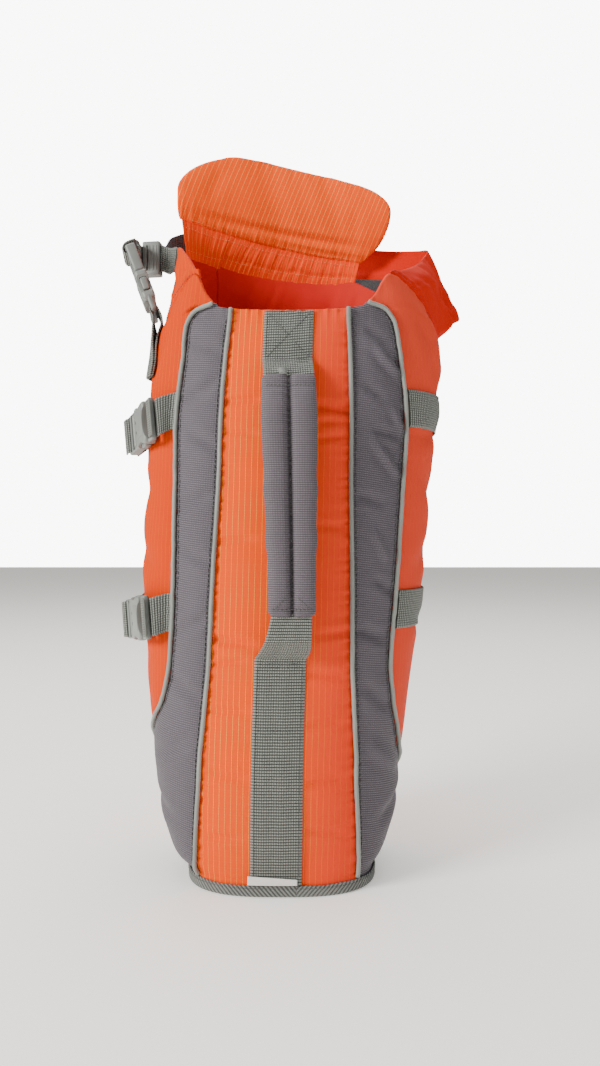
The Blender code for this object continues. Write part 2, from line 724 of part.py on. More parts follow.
def float_root(belly):
    """The gathered strip that joins the float to the top edges of the chest and the left wing."""
    count = ROOT_GATHERS * 4
    round_neck = half_girth(CHEST_LEFT, 1) + half_girth(CHEST_LEFT, -1)
    front, rear = [], []
    for row in ROOT_ROWS:
        ahead, behind = [], []
        for i in range(count + 1):
            along = mix(round_neck + ROOT_LEFT, ROOT_RIGHT, i / count)
            foot = trunk_point(along, neck_edge(belly, along) + 2 * GAP, -SEAM_WALL / 2)
            sideways = mix(FLOAT_ROWS[0].left + ROOT_INSET, FLOAT_ROWS[0].right - ROOT_INSET, i / count)
            place = foot.lerp(float_place(sideways, FLOAT_ROWS[0].rise - 2 * GAP), row.share)
            wave = GATHER_DEPTH * row.depth * math.sin(math.pi * i / 2 + GATHER_START)
            ahead.append(place + Vector((0, wave - ROOT_WALL / 2, 0)))
            behind.append(place + Vector((0, wave + ROOT_WALL / 2, 0)))
        front.append(ahead)
        rear.append(behind)
    wall_between("float_root", front, rear, ORANGE)


# Straps and buckles


class Place:
    """Where a buckle lies: its origin, its length from the bar, its width and its outer side."""

    def __init__(self, origin, tip, out):
        self.origin = Vector(origin)
        self.length = (Vector(tip) - self.origin).normalized()
        self.width = Vector(out).cross(self.length).normalized()
        self.out = self.length.cross(self.width).normalized()

    def at(self, length, width, out):
        return self.origin + self.length * length + self.width * width + self.out * out

    def matrix(self):
        columns = Matrix((self.length, self.width, self.out)).transposed().to_4x4()
        return Matrix.Translation(self.origin) @ columns


def block(low, high, bevel=0.0):
    """A box between two corners, its edges rounded, as a mesh in the buckle's own axes."""
    bpy.ops.mesh.primitive_cube_add(size=1)
    obj = bpy.context.object
    low, high = Vector(low), Vector(high)
    obj.data.transform(Matrix.Translation((low + high) / 2) @ Matrix.Diagonal((*(high - low), 1)))
    if bevel:
        rounding = obj.modifiers.new("Bevel", "BEVEL")
        rounding.width, rounding.segments = bevel, 2
    return obj


def combine(name, base, steps, place, colour):
    """Joins and cuts blocks on a base one and puts the result in its place."""
    for i, (kind, other) in enumerate(steps):
        joint = base.modifiers.new(f"{kind.title()} {i}", "BOOLEAN")
        joint.operation, joint.object = kind, other
    graph = bpy.context.evaluated_depsgraph_get()
    mesh = bpy.data.meshes.new_from_object(base.evaluated_get(graph))
    mesh.transform(place.matrix())
    obj = bpy.data.objects.new(name, mesh)
    bpy.context.scene.collection.objects.link(obj)
    for used in [base] + [other for _, other in steps]:
        bpy.data.objects.remove(used)
    mesh.shade_smooth()
    mesh.set_sharp_from_angle(angle=math.radians(35))
    return finish(obj, colour, 0.45)


BUCKLE_WIDTH, BUCKLE_THICKNESS = 0.036, 0.011
SOCKET_LENGTH, PLUG_END = 0.038, 0.064
SLOT_HALF, SOCKET_SLOT, PLUG_SLOT = 0.0155, 0.0055, 0.0050
PLUG_SLOTS = (0.0475, 0.0575)
BAR = 0.0035
CUT_THROUGH = 0.03
MOUTH_START, MOUTH_HALF, MOUTH_WALL = 0.013, 0.0031, 0.003
WINDOW_START, WINDOW_END = 0.018, 0.031
GUIDE_START, GUIDE_HALF, PRONG_HALF = 0.016, 0.0035, 0.0025
PRONG_START, PRONG_INNER, PRONG_OUTER = 0.020, 0.0075, 0.0035
# The catch is the thick end of a prong: how far it starts, ends, reaches in and stands out.
CATCH_START, CATCH_END, CATCH_IN, CATCH_OUT, CATCH_HALF = 0.0195, 0.0285, 0.0050, 0.0010, 0.0027


def buckle(name, place):
    """A side-release buckle: a socket with a bar at its origin, and the plug that is pushed into it."""
    half, deep = BUCKLE_WIDTH / 2, BUCKLE_THICKNESS / 2
    body = block((0, -half, -deep), (SOCKET_LENGTH, half, deep), 0.0022)
    mouth_half = half - MOUTH_WALL
    cuts = (
        block((BAR, -SLOT_HALF, -CUT_THROUGH), (BAR + SOCKET_SLOT, SLOT_HALF, CUT_THROUGH)),
        block((MOUTH_START, -mouth_half, -MOUTH_HALF), (SOCKET_LENGTH + 0.01, mouth_half, MOUTH_HALF)),
        block((WINDOW_START, -CUT_THROUGH, -MOUTH_HALF), (WINDOW_END, CUT_THROUGH, MOUTH_HALF)),
    )
    combine(f"{name}_socket", body, [("DIFFERENCE", cut) for cut in cuts], place, BUCKLE)
    start = SOCKET_LENGTH + GAP
    frame = block((start, -half + 0.001, -deep + 0.001), (PLUG_END, half - 0.001, deep - 0.001), 0.0018)
    steps = [
        ("DIFFERENCE", block(
            (middle - PLUG_SLOT / 2, -SLOT_HALF, -CUT_THROUGH), (middle + PLUG_SLOT / 2, SLOT_HALF, CUT_THROUGH)
        ))
        for middle in PLUG_SLOTS
    ]
    foot = start + 0.002
    steps.append(("UNION", block((GUIDE_START, -GUIDE_HALF, -PRONG_HALF), (foot, GUIDE_HALF, PRONG_HALF))))
    for side in (-1, 1):
        low, high = sorted((side * (half - PRONG_INNER), side * (half - PRONG_OUTER)))
        steps.append(("UNION", block((PRONG_START, low, -PRONG_HALF), (foot, high, PRONG_HALF))))
        low, high = sorted((side * (half - CATCH_IN), side * (half + CATCH_OUT)))
        steps.append(("UNION", block((CATCH_START, low, -CATCH_HALF), (CATCH_END, high, CATCH_HALF))))
    combine(f"{name}_plug", frame, steps, place, BUCKLE)


LOOP_OFF = BUCKLE_THICKNESS / 2 + WEBBING_WALL / 2 + 2 * GAP
Spot = namedtuple("Spot", "length out")


def loop_spots(end, turn, lead):
    """Where webbing runs in a buckle's axes as it turns round the bar at one end, from under it out."""
    inside = end + turn * (BAR + 0.0028)
    bar = end + turn * BAR / 2
    return (
        Spot(end - turn * lead, -LOOP_OFF), Spot(bar, -LOOP_OFF), Spot(inside - turn * 0.0008, 0.0008 - LOOP_OFF),
        Spot(inside, 0.0), Spot(inside - turn * 0.0008, LOOP_OFF - 0.0008),
        Spot(bar, LOOP_OFF), Spot(end - turn * 0.004, LOOP_OFF - 0.0005),
    )


def wrap(place, spots, side, width=STRAP_WEBBING):
    """Sections of webbing through spots in a buckle's axes."""
    sections = []
    for i, spot in enumerate(spots):
        before, after = spots[max(i - 1, 0)], spots[min(i + 1, len(spots) - 1)]
        run = Vector((after.length - before.length, after.out - before.out)).normalized() * side
        facing = place.out * run.x - place.length * run.y
        sections.append(band_section(place.at(spot.length, 0, spot.out), -place.width, facing, width))
    return sections


def lying(panel, shares, height, clear, width=STRAP_WEBBING):
    """Sections of webbing that lies across a panel at a height."""
    low, high = height - width / 2, height + width / 2
    return [
        [panel.point(share, *spot) for spot in (
            (low, clear), (high, clear), (high, clear + WEBBING_WALL), (low, clear + WEBBING_WALL)
        )]
        for share in shares
    ]


def belly_strap(name, height, by_name, place):
    """The long run from the right seam round the belly to the plug, and the short one to the socket."""
    clear = 3 * GAP
    right, belly, left = by_name["side_panel_right"], by_name["belly_panel"], by_name["side_panel_left"]
    sections = lying(right, (0.022, *right.columns[1:-1], 0.985), height, clear)
    sections += lying(belly, (0.015, *belly.columns[1:-1], 0.985), height, clear)
    sections += lying(left, (0.015, *left.columns[1:4]), height, clear)
    loft(f"{name}_long", sections + wrap(place, loop_spots(PLUG_END, -1, 0.009), -1), TAPE)
    sections = lying(left, (0.985, 0.972), height - 0.002, clear)
    loft(f"{name}_short", sections + wrap(place, loop_spots(0.0, 1, 0.005), 1), TAPE)


TAB_MIDDLE = 0.62
Lying = namedtuple("Lying", "height out")
RunSpot = namedtuple("RunSpot", "back height")
TAB_UNDER = (Lying(0.4180, 0.0015), Lying(0.4310, 0.0015), Lying(0.4440, 0.0015), Lying(0.4540, 0.0015))
TAB_OVER = (Lying(0.4600, 0.0078), Lying(0.4480, 0.0050), Lying(0.4330, 0.0037), Lying(0.4190, 0.0035))
NECK_RUN = (RunSpot(0.195, 0.5260), RunSpot(0.172, 0.5290), RunSpot(0.150, 0.5330))
RUN_OFF = 0.0015
KEEPER = Vector((-0.1275, 0.1400, 0.5410))
KEEPER_STEP, KEEPER_BACK = Vector((-1, 0.15, 0)).normalized(), Vector((0.15, 1, 0)).normalized()
KEEPER_HALF = 0.0085
STRAP_END_OFF = 0.0036
STRAP_END = (Vector((-0.1120, 0.1580, 0.5560)), Vector((-0.0960, 0.1740, 0.5680)))


def neck_tab(place, left):
    """The tab sewn below the neck buckle: webbing from the panel, round the bar and back over itself."""
    half = NECK_STRAP / 2

    def layer(rows, walls):
        sections = []
        for row in rows:
            span = half / abs(left.far(row.height) - left.near(row.height))
            sections.append([
                left.point(TAB_MIDDLE + side * span, row.height, row.out + wall)
                for side, wall in ((-1, walls[0]), (1, walls[0]), (1, walls[1]), (-1, walls[1]))
            ])
        return sections

    under, over = layer(TAB_UNDER, (0, WEBBING_WALL)), layer(TAB_OVER, (WEBBING_WALL, 0))
    loft("neck_strap_tab", under + wrap(place, loop_spots(0.0, 1, 0.009), 1, NECK_STRAP) + over, TAPE)


def neck_run(place):
    """The neck strap from the left wing through the keeper, turning on edge to go round the plug's bar."""
    up, half = Vector((0, 0, 1)), NECK_STRAP / 2
    sections = []
    for spot in NECK_RUN:
        low, high = spot.height - half, spot.height + half
        sections.append([
            trunk_point(-spot.back, height, RUN_OFF + out)
            for height, out in ((low, 0), (high, 0), (high, WEBBING_WALL), (low, WEBBING_WALL))
        ])
    clear = KEEPER_HALF + 0.001
    middles = [
        KEEPER - 2 * KEEPER_HALF * KEEPER_STEP - 0.003 * up, KEEPER - clear * KEEPER_STEP, KEEPER,
        KEEPER + clear * KEEPER_STEP,
    ]
    sections += [band_section(middle, up, KEEPER_BACK, NECK_STRAP) for middle in middles]
    end = PLUG_END
    start, slot = Spot(end + 0.0045, -0.0060), end - BAR - 0.0028
    for share in (0.35, 0.7):
        turn = share * math.pi / 2
        over = Vector((0, -math.sin(turn), math.cos(turn)))
        out = Vector((0, math.cos(turn), math.sin(turn)))
        middle = middles[-1].lerp(place.at(start.length, 0, start.out), share)
        sections.append(band_section(middle, over, out, NECK_STRAP))
    spots = (
        start, Spot(end + 0.0035, 0.0030), Spot(end - 0.001, LOOP_OFF), Spot(slot + 0.0008, LOOP_OFF - 0.0008),
        Spot(slot, 0.0), Spot(slot + 0.0008, 0.0008 - LOOP_OFF), Spot(end - 0.001, -LOOP_OFF),
    )
    loft("neck_strap_run", sections + wrap(place, spots, -1, NECK_STRAP), TAPE)


def neck_end():
    """The strap's free end, which goes from the keeper in behind the float."""
    behind = KEEPER + STRAP_END_OFF * KEEPER_BACK
    middles = (behind + KEEPER_HALF * KEEPER_STEP, behind - 0.0100 * KEEPER_STEP, *STRAP_END)
    sections = [
        band_section(middle, Vector((0, 0, 1)), -KEEPER_BACK, NECK_STRAP - 0.002) for middle in middles
    ]
    loft("neck_strap_end", sections, BLACK)


def keeper():
    """The slide that holds the neck strap's two layers together."""
    place = Place(KEEPER, KEEPER + KEEPER_STEP, -KEEPER_BACK)
    ring_block = block((-KEEPER_HALF, -0.0160, -0.0075), (KEEPER_HALF, 0.0160, 0.0035), 0.0012)
    hole = block((-CUT_THROUGH, -0.0130, -0.0055), (CUT_THROUGH, 0.0130, 0.0018))
    combine("neck_keeper", ring_block, [("DIFFERENCE", hole)], place, BUCKLE)


def clear_scene():
    for obj in list(bpy.data.objects):
        bpy.data.objects.remove(obj)
    jacket = bpy.data.collections.new("dog_life_jacket")
    bpy.context.scene.collection.children.link(jacket)


def main():
    clear_scene()
    made = panels()
    by_name = {panel.name: panel for panel in made}
    for panel in made:
        panel.build()
    hem_binding(made)
    pipings(made)
    spine_webbing(by_name["dorsal_panel"])
    handle_grip(by_name["dorsal_panel"])
    hem_label(by_name["dorsal_panel"])
    wing_left(by_name["side_panel_left"])
    wing_right(by_name["side_panel_right"])
    chin_float()
    float_root(by_name["belly_panel"])
    left = by_name["side_panel_left"]
    upper, lower = (
        Place(left.point(*bar), left.point(*tip), out) for bar, tip, out in (UPPER_SEAT, LOWER_SEAT)
    )
    neck = Place(*NECK_SEAT)
    for name, place in (("upper_buckle", upper), ("lower_buckle", lower), ("neck_buckle", neck)):
        buckle(name, place)
    belly_strap("upper_strap", UPPER_STRAP, by_name, upper)
    belly_strap("lower_strap", LOWER_STRAP, by_name, lower)
    neck_tab(neck, left)
    neck_run(neck)
    neck_end()
    keeper()


main()
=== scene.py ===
"""Dresses the dog life jacket: its cloth, webbing, tape, thread and buckles, on a pale floor.

Lengths are metres. X runs across the back, -Y is the spine side and Z is up from the tail hem. A
place on the trunk's cloth is given by its distance along the cloth from the spine line (plus to
+X), by its height and by how far it lies outside the seams.
"""

import logging
import math
from collections.abc import Callable, Sequence
from dataclasses import dataclass, field
from enum import Enum
from functools import cached_property

import bpy
import numpy as np
from mathutils import Matrix, Vector

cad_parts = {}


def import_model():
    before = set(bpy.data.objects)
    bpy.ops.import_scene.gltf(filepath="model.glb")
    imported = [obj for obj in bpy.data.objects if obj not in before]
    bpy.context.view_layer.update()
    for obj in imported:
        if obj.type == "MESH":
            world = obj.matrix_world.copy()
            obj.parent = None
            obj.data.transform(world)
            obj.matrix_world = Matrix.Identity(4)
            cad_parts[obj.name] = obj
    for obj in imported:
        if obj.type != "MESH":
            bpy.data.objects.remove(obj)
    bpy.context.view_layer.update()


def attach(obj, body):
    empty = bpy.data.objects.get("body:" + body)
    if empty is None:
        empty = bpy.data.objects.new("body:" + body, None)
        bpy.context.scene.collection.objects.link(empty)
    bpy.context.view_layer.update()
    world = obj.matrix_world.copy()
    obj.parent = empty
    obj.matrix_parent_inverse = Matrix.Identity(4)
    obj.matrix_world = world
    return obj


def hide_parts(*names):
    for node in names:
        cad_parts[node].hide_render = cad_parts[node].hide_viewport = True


LOG = logging.getLogger("jacket")

Array = np.ndarray
Colour = tuple[float, float, float]
Line = Callable[[Array], Array]

# the room between neighbouring pieces, a length that counts as none, and the cloth's UV map
GAP, TINY, CLOTH_MAP = 0.0003, 1e-6, "cloth"


class Hold(Enum):
    """How a piece of cloth is held."""

    STRETCHED = "stretched"
    GATHERED = "gathered"
    FOLDED = "folded"


class Cap(Enum):
    """How the two ends of a tube are finished."""

    FLAT = "flat"
    JOINED = "joined"


# Small maths


def ease(low: float, high: float, value: Array) -> Array:
    """A soft rise from 0 at low to 1 at high."""
    t = np.clip((value - low) / (high - low), 0.0, 1.0)
    return t * t * (3 - 2 * t)


def mix(first: Array | float, second: Array | float, share: Array | float) -> Array:
    """The value at a share of the way from the first to the second."""
    return first + (second - first) * share


def through(rows: Sequence[Sequence[float]], column: int, at: Array) -> Array:
    """A column of a table on a smooth curve through its rows.

    Args:
        rows: The table, whose first column rises.
        column: The index of the column to read.
        at: Values of the first column.

    Returns:
        The column's values there, held past both ends.
    """
    table = np.asarray(rows, float)
    keys, values = table[:, 0], table[:, column]
    at = np.clip(at, keys[0], keys[-1])
    low = np.clip(np.searchsorted(keys, at, side="right") - 1, 0, len(keys) - 2)
    slopes = np.empty(len(keys))
    slopes[1:-1] = (values[2:] - values[:-2]) / (keys[2:] - keys[:-2])
    slopes[0] = (values[1] - values[0]) / (keys[1] - keys[0])
    slopes[-1] = (values[-1] - values[-2]) / (keys[-1] - keys[-2])
    span = keys[low + 1] - keys[low]
    t = (at - keys[low]) / span
    fall, rise = (1 - t) ** 2 * (1 + 2 * t), t * t * (3 - 2 * t)
    bend = span * (t * (1 - t) ** 2 * slopes[low] - t * t * (1 - t) * slopes[low + 1])
    return fall * values[low] + rise * values[low + 1] + bend


def wander(place: Array, pitch: float, seed: float = 0.0) -> Array:
    """An uneven wave from -1 to 1 with roughly the given pitch, as gathers in cloth have."""
    x = math.tau * place / pitch
    drift = 1.3 * np.sin(0.31 * x + 1.7 * seed) + 0.8 * np.sin(0.117 * x + 2.9 * seed)
    return 0.62 * np.sin(x + drift + seed) + 0.38 * np.sin(1.73 * x + 2.1 * drift + 3.3 * seed)


@dataclass(frozen=True)
class Wave:
    """An uneven wave in cloth: how far it moves the cloth, its pitch and where it starts."""

    depth: float
    pitch: float
    seed: float

    def at(self, place: Array) -> Array:
        """The wave at places along it."""
        return self.depth * wander(place, self.pitch, self.seed)


def unit(vectors: Array) -> Array:
    """Vectors made one long."""
    return vectors / np.maximum(np.linalg.norm(vectors, axis=-1, keepdims=True), TINY ** 2)


def even(count: int) -> Array:
    """Shares from 0 to 1 in equal steps."""
    return np.linspace(0.0, 1.0, count + 1)


# The trunk's form

# height, half width, front, back, middle, spine x, spine y, how squarely the spine side turns
SECTIONS = (
    (0.012, 0.0755, 0.058, 0.077, -0.0020, -0.0056, -0.0015, 2.8),
    (0.019, 0.0845, 0.061, 0.079, -0.0045, -0.0055, -0.0015, 2.7),
    (0.030, 0.0905, 0.064, 0.080, -0.0050, -0.0053, -0.0015, 2.5),
    (0.055, 0.0968, 0.068, 0.081, -0.0052, -0.0050, -0.0015, 2.4),
    (0.090, 0.1018, 0.073, 0.082, -0.0062, -0.0045, -0.0010, 2.4),
    (0.130, 0.1062, 0.077, 0.083, -0.0056, -0.0035, 0.0010, 2.4),
    (0.190, 0.1122, 0.082, 0.085, -0.0034, -0.0020, 0.0040, 2.4),
    (0.260, 0.1190, 0.086, 0.087, -0.0010, -0.0005, 0.0085, 2.4),
    (0.330, 0.1210, 0.088, 0.088, 0.0036, 0.0010, 0.0140, 2.4),
    (0.385, 0.1240, 0.088, 0.088, 0.0065, 0.0020, 0.0190, 2.4),
    (0.435, 0.1240, 0.087, 0.086, 0.0110, 0.0035, 0.0245, 2.4),
    (0.470, 0.1190, 0.085, 0.083, 0.0120, 0.0045, 0.0290, 2.4),
    (0.510, 0.1085, 0.082, 0.079, 0.0080, 0.0045, 0.0350, 2.4),
    (0.560, 0.1000, 0.078, 0.072, 0.0030, 0.0045, 0.0440, 2.4),
)
BACK_SQUARENESS = 2.1

# height, then how far along the cloth each seam runs: inner, left, right, belly
SEAMS = (
    (0.012, 0.0650, 0.184, 0.182, 0.199),
    (0.030, 0.0650, 0.183, 0.180, 0.209),
    (0.060, 0.0635, 0.177, 0.168, 0.218),
    (0.085, 0.0620, 0.166, 0.142, 0.223),
    (0.105, 0.0615, 0.150, 0.116, 0.226),
    (0.125, 0.0600, 0.122, 0.106, 0.228),
    (0.145, 0.0585, 0.103, 0.098, 0.230),
    (0.175, 0.0565, 0.094, 0.0925, 0.232),
    (0.240, 0.0550, 0.091, 0.096, 0.236),
    (0.320, 0.0525, 0.093, 0.100, 0.241),
    (0.375, 0.0520, 0.094, 0.102, 0.243),
    (0.425, 0.0500, 0.090, 0.094, 0.240),
    (0.453, 0.0480, 0.089, 0.088, 0.235),
    (0.461, 0.0477, 0.085, 0.083, 0.232),
    (0.466, 0.0476, 0.078, 0.077, 0.231),
    (0.470, 0.0475, 0.064, 0.064, 0.230),
    (0.560, 0.0470, 0.064, 0.064, 0.205),
)

# distance along the cloth, height: the side panels' arched top edges and the left wing's neck edge
LEFT_ARCH = (
    (0.064, 0.4705), (0.073, 0.4810), (0.084, 0.4990), (0.100, 0.4900),
    (0.120, 0.4760), (0.140, 0.4630), (0.165, 0.4560), (0.240, 0.4530),
)
RIGHT_ARCH = (
    (0.064, 0.4700), (0.071, 0.4770), (0.080, 0.4915), (0.087, 0.4985), (0.100, 0.4950),
    (0.132, 0.4770), (0.152, 0.4590), (0.175, 0.4530), (0.240, 0.4520),
)
LEFT_NECK = ((0.084, 0.5030), (0.099, 0.5195), (0.120, 0.5340), (0.150, 0.5400), (0.205, 0.5440))


class SeamLine(Enum):
    """The seams along the trunk, by their column in the table of seams."""

    INNER = 1
    LEFT = 2
    RIGHT = 3
    BELLY = 4

    def along(self, side: int) -> Line:
        """The seam's distance along the cloth as a function of height, on one side."""
        return lambda height: side * through(SEAMS, self.value, height)


@dataclass
class TrunkForm:
    """The trunk's smooth outline, as a table of places by distance along the cloth and height."""

    low: float = 0.0
    high: float = 0.590
    step: float = 0.002
    first: float = -0.500
    last: float = 0.760
    pace: float = 0.001

    @cached_property
    def heights(self) -> Array:
        """The heights of the table's rows."""
        return np.arange(self.low, self.high, self.step)

    @cached_property
    def distances(self) -> Array:
        """The distances along the cloth of the table's columns."""
        return np.arange(self.first, self.last, self.pace)

    @cached_property
    def girths(self) -> Array:
        """The distances along the cloth of the ring's two ends, at each height."""
        return np.array([self._ring(height)[2][[0, -1]] for height in self.heights])

    @cached_property
    def table(self) -> Array:
        """X and Y by height and distance."""
        rows = []
        for height in self.heights:
            x, y, along = self._ring(height)
            total = along[-1] - along[0]
            at = (self.distances - along[0]) % total + along[0]
            rows.append(np.stack([np.interp(at, along, x), np.interp(at, along, y)], -1))
        return np.array(rows)

    def _ring(self, height: float) -> tuple[Array, Array, Array]:
        """X, Y and the distance along the cloth round the trunk at a height."""
        half, front, back, middle, spine_x, spine_y, square = (
            float(through(SECTIONS, column, np.array(height))) for column in range(1, 8)
        )
        turn = np.linspace(-math.pi, math.pi, 1441)
        across, ahead = np.sin(turn), np.cos(turn)
        power = np.where(ahead > 0, 2 / square, 2 / BACK_SQUARENESS)
        x = middle + half * np.sign(across) * np.abs(across) ** power
        reach = np.where(ahead > 0, front, back)
        y = spine_y + front - reach * np.sign(ahead) * np.abs(ahead) ** power
        along = np.concatenate([[0.0], np.cumsum(np.hypot(np.diff(x), np.diff(y)))])
        near = slice(360, 1081)
        return x, y, along - np.interp(spine_x, x[near], along[near])

    def half_girth(self, height: Array, side: int) -> Array:
        """The distance along the cloth from the spine line to the middle of the belly."""
        column = self.girths[:, 1] if side > 0 else -self.girths[:, 0]
        return np.interp(height, self.heights, column)

    def girth(self, height: Array) -> Array:
        """The distance round the trunk."""
        return self.half_girth(height, 1) + self.half_girth(height, -1)

    def _flat(self, along: Array, height: Array) -> Array:
        """X and Y at places on the cloth."""
        row = np.clip((height - self.low) / self.step, 0, len(self.heights) - 1.001)
        column = np.clip((along - self.first) / self.pace, 0, len(self.distances) - 1.001)
        i, j = row.astype(int), column.astype(int)
        down, over = (row - i)[..., None], (column - j)[..., None]
        table = self.table
        low = mix(table[i, j], table[i, j + 1], over)
        high = mix(table[i + 1, j], table[i + 1, j + 1], over)
        return mix(low, high, down)

    def place(self, along: Array, height: Array, out: Array | float = 0.0) -> Array:
        """Points on the cloth, moved outside the seams.

        Args:
            along: Distances along the cloth from the spine line.
            height: Heights, of the same shape.
            out: How far outside the seams, one value or one for each point.

        Returns:
            Points, with X, Y and Z in the last axis.
        """
        along, height, out = np.broadcast_arrays(along, height, out)
        reach = 0.004
        run = unit(self._flat(along + reach, height) - self._flat(along - reach, height))
        flat = self._flat(along, height) + out[..., None] * np.stack([run[..., 1], -run[..., 0]], -1)
        return np.concatenate([flat, height[..., None]], -1)


FORM = TrunkForm()


# Creases


@dataclass(frozen=True)
class Crease:
    """A soft trough or ridge in cloth: its middle, direction in degrees, sizes and bow."""

    along: float
    height: float
    angle: float
    length: float
    width: float
    depth: float
    bow: float = 0.0

    def relief(self, along: Array, height: Array) -> Array:
        """How far it moves the cloth outwards, which is inwards for a positive depth."""
        turn = math.radians(self.angle)
        x, y = along - self.along, height - self.height
        run = x * math.cos(turn) + y * math.sin(turn)
        off = -x * math.sin(turn) + y * math.cos(turn) + self.bow * run * run / self.length
        fade = 1 - ease(0.30, 1.0, np.abs(run) / (self.length / 2))
        off = off / (self.width / 2)
        return -self.depth * fade * (np.exp(-off * off) - 0.35 * np.exp(-((np.abs(off) - 1.7) ** 2)))


def creases(*rows: Sequence[float]) -> tuple[Crease, ...]:
    """Creases from rows of their values, in the order of a crease's own fields."""
    return tuple(Crease(*row) for row in rows)


def creased(marks: Sequence[Crease], along: Array, height: Array) -> Array:
    """The relief of several creases together."""
    return sum((crease.relief(along, height) for crease in marks), np.zeros_like(along))


# Meshes


@dataclass
class Sheetwork:
    """A mesh being made from grids of points, with the cloth's own lengths as its UV map."""

    name: str
    points: list[Array] = field(default_factory=list)
    faces: list[Array] = field(default_factory=list)
    flats: list[Array] = field(default_factory=list)
    finishes: list[Array] = field(default_factory=list)
    count: int = 0

    def place(self, points: Array) -> int:
        """Adds points, and returns the index of the first in the whole mesh."""
        self.points.append(points)
        self.count += len(points)
        return self.count - len(points)

    def link(self, faces: Array, flat: Array, finish: int = 0) -> None:
        """Adds faces between points that are already there.

        Args:
            faces: Rows of indices into the mesh's points, three or four to a face.
            flat: The UV place of each corner of each face.
            finish: The index of the faces' material.
        """
        self.faces.append(faces)
        self.flats.append(flat)
        self.finishes.append(np.full(len(faces), finish))

    def add(self, points: Array, faces: Array, flat: Array, finish: int = 0) -> int:
        """Adds points and the faces that count from the first of them, as for place() and link()."""
        start = self.place(points)
        self.link(faces + start, flat, finish)
        return start

    def build(self) -> bpy.types.Object:
        """Makes the object, turned so that its faces point outwards."""
        points = np.concatenate(self.points)
        volume = 0.0
        for faces in self.faces:
            first, *others = (points[faces[:, i]] for i in range(faces.shape[1]))
            for second, third in zip(others, others[1:]):
                volume += np.einsum("ij,ij->", first, np.cross(second, third))
        order = -1 if volume < 0 else 1
        turned = [faces[:, ::order] for faces in self.faces]
        sizes = np.concatenate([np.full(len(faces), faces.shape[1]) for faces in turned])
        starts = np.concatenate([[0], np.cumsum(sizes)[:-1]])
        corners = np.concatenate([faces.ravel() for faces in turned])
        places = np.concatenate([flat[:, ::order].reshape(-1) for flat in self.flats])
        mesh = bpy.data.meshes.new(self.name)
        mesh.vertices.add(len(points))
        mesh.loops.add(len(corners))
        mesh.polygons.add(len(sizes))
        mesh.vertices.foreach_set("co", points.astype(np.float32).ravel())
        mesh.loops.foreach_set("vertex_index", corners.astype(np.int32))
        mesh.polygons.foreach_set("loop_start", starts.astype(np.int32))
        mesh.polygons.foreach_set("material_index", np.concatenate(self.finishes).astype(np.int32))
        mesh.update(calc_edges=True)
        mesh.uv_layers.new(name=CLOTH_MAP).data.foreach_set("uv", places.astype(np.float32))
        mesh.shade_smooth()
        obj = bpy.data.objects.new(self.name, mesh)
        bpy.context.scene.collection.objects.link(obj)
        return obj


def grid_faces(rows: int, columns: int) -> Array:
    """The four-cornered faces of a grid of points."""
    i, j = np.meshgrid(np.arange(rows - 1), np.arange(columns - 1), indexing="ij")
    here = (i * columns + j).ravel()
    return np.stack([here, here + 1, here + columns + 1, here + columns], -1)


def rim_of(rows: int, columns: int) -> Array:
    """The indices round a grid's edge, in the direction that its faces go round."""
    low = [(0, j) for j in range(columns)]
    right = [(i, columns - 1) for i in range(1, rows)]
    top = [(rows - 1, j) for j in range(columns - 2, -1, -1)]
    left = [(i, 0) for i in range(rows - 2, 0, -1)]
    return np.array([i * columns + j for i, j in low + right + top + left])


def one_in(rows: int, columns: int) -> Array:
    """For each point of a grid, the index of the point one step in from the edge."""
    i, j = np.meshgrid(np.arange(rows), np.arange(columns), indexing="ij")
    return (np.clip(i, 1, rows - 2) * columns + np.clip(j, 1, columns - 2)).ravel()


def shell(name: str, outer: Array, inner: Array, flat: Array, roll: float = 0.0004) -> bpy.types.Object:
    """A closed cloth shell between two equal grids, with a rounded edge.

    Args:
        name: The object's name.
        outer: The outer face's points, by row and column.
        inner: The inner face's points.
        flat: The cloth's own lengths at the points.
        roll: How far the edge stands out beyond the faces.

    Returns:
        The object, whose second material is for the inner face.
    """
    rows, columns = outer.shape[:2]
    faces, lengths = grid_faces(rows, columns), flat.reshape(-1, 2)
    work = Sheetwork(name)
    work.add(outer.reshape(-1, 3), faces, lengths[faces])
    faces = faces[:, ::-1]
    inner_start = work.add(inner.reshape(-1, 3), faces, lengths[faces], 1)
    middles = (outer + inner).reshape(-1, 3) / 2
    rim = rim_of(rows, columns)
    inside = one_in(rows, columns)[rim]
    start = work.place(middles[rim] + roll * unit(middles[rim] - middles[inside]))
    edge = start + np.arange(len(rim))
    next_rim, next_edge = np.roll(rim, -1), np.roll(edge, -1)
    corners = lengths[np.stack([next_rim, rim, rim, next_rim], -1)]
    work.link(np.stack([next_rim, rim, edge, next_edge], -1), corners)
    far, next_far = rim + inner_start, next_rim + inner_start
    work.link(np.stack([next_edge, edge, far, next_far], -1), corners, 1)
    return work.build()


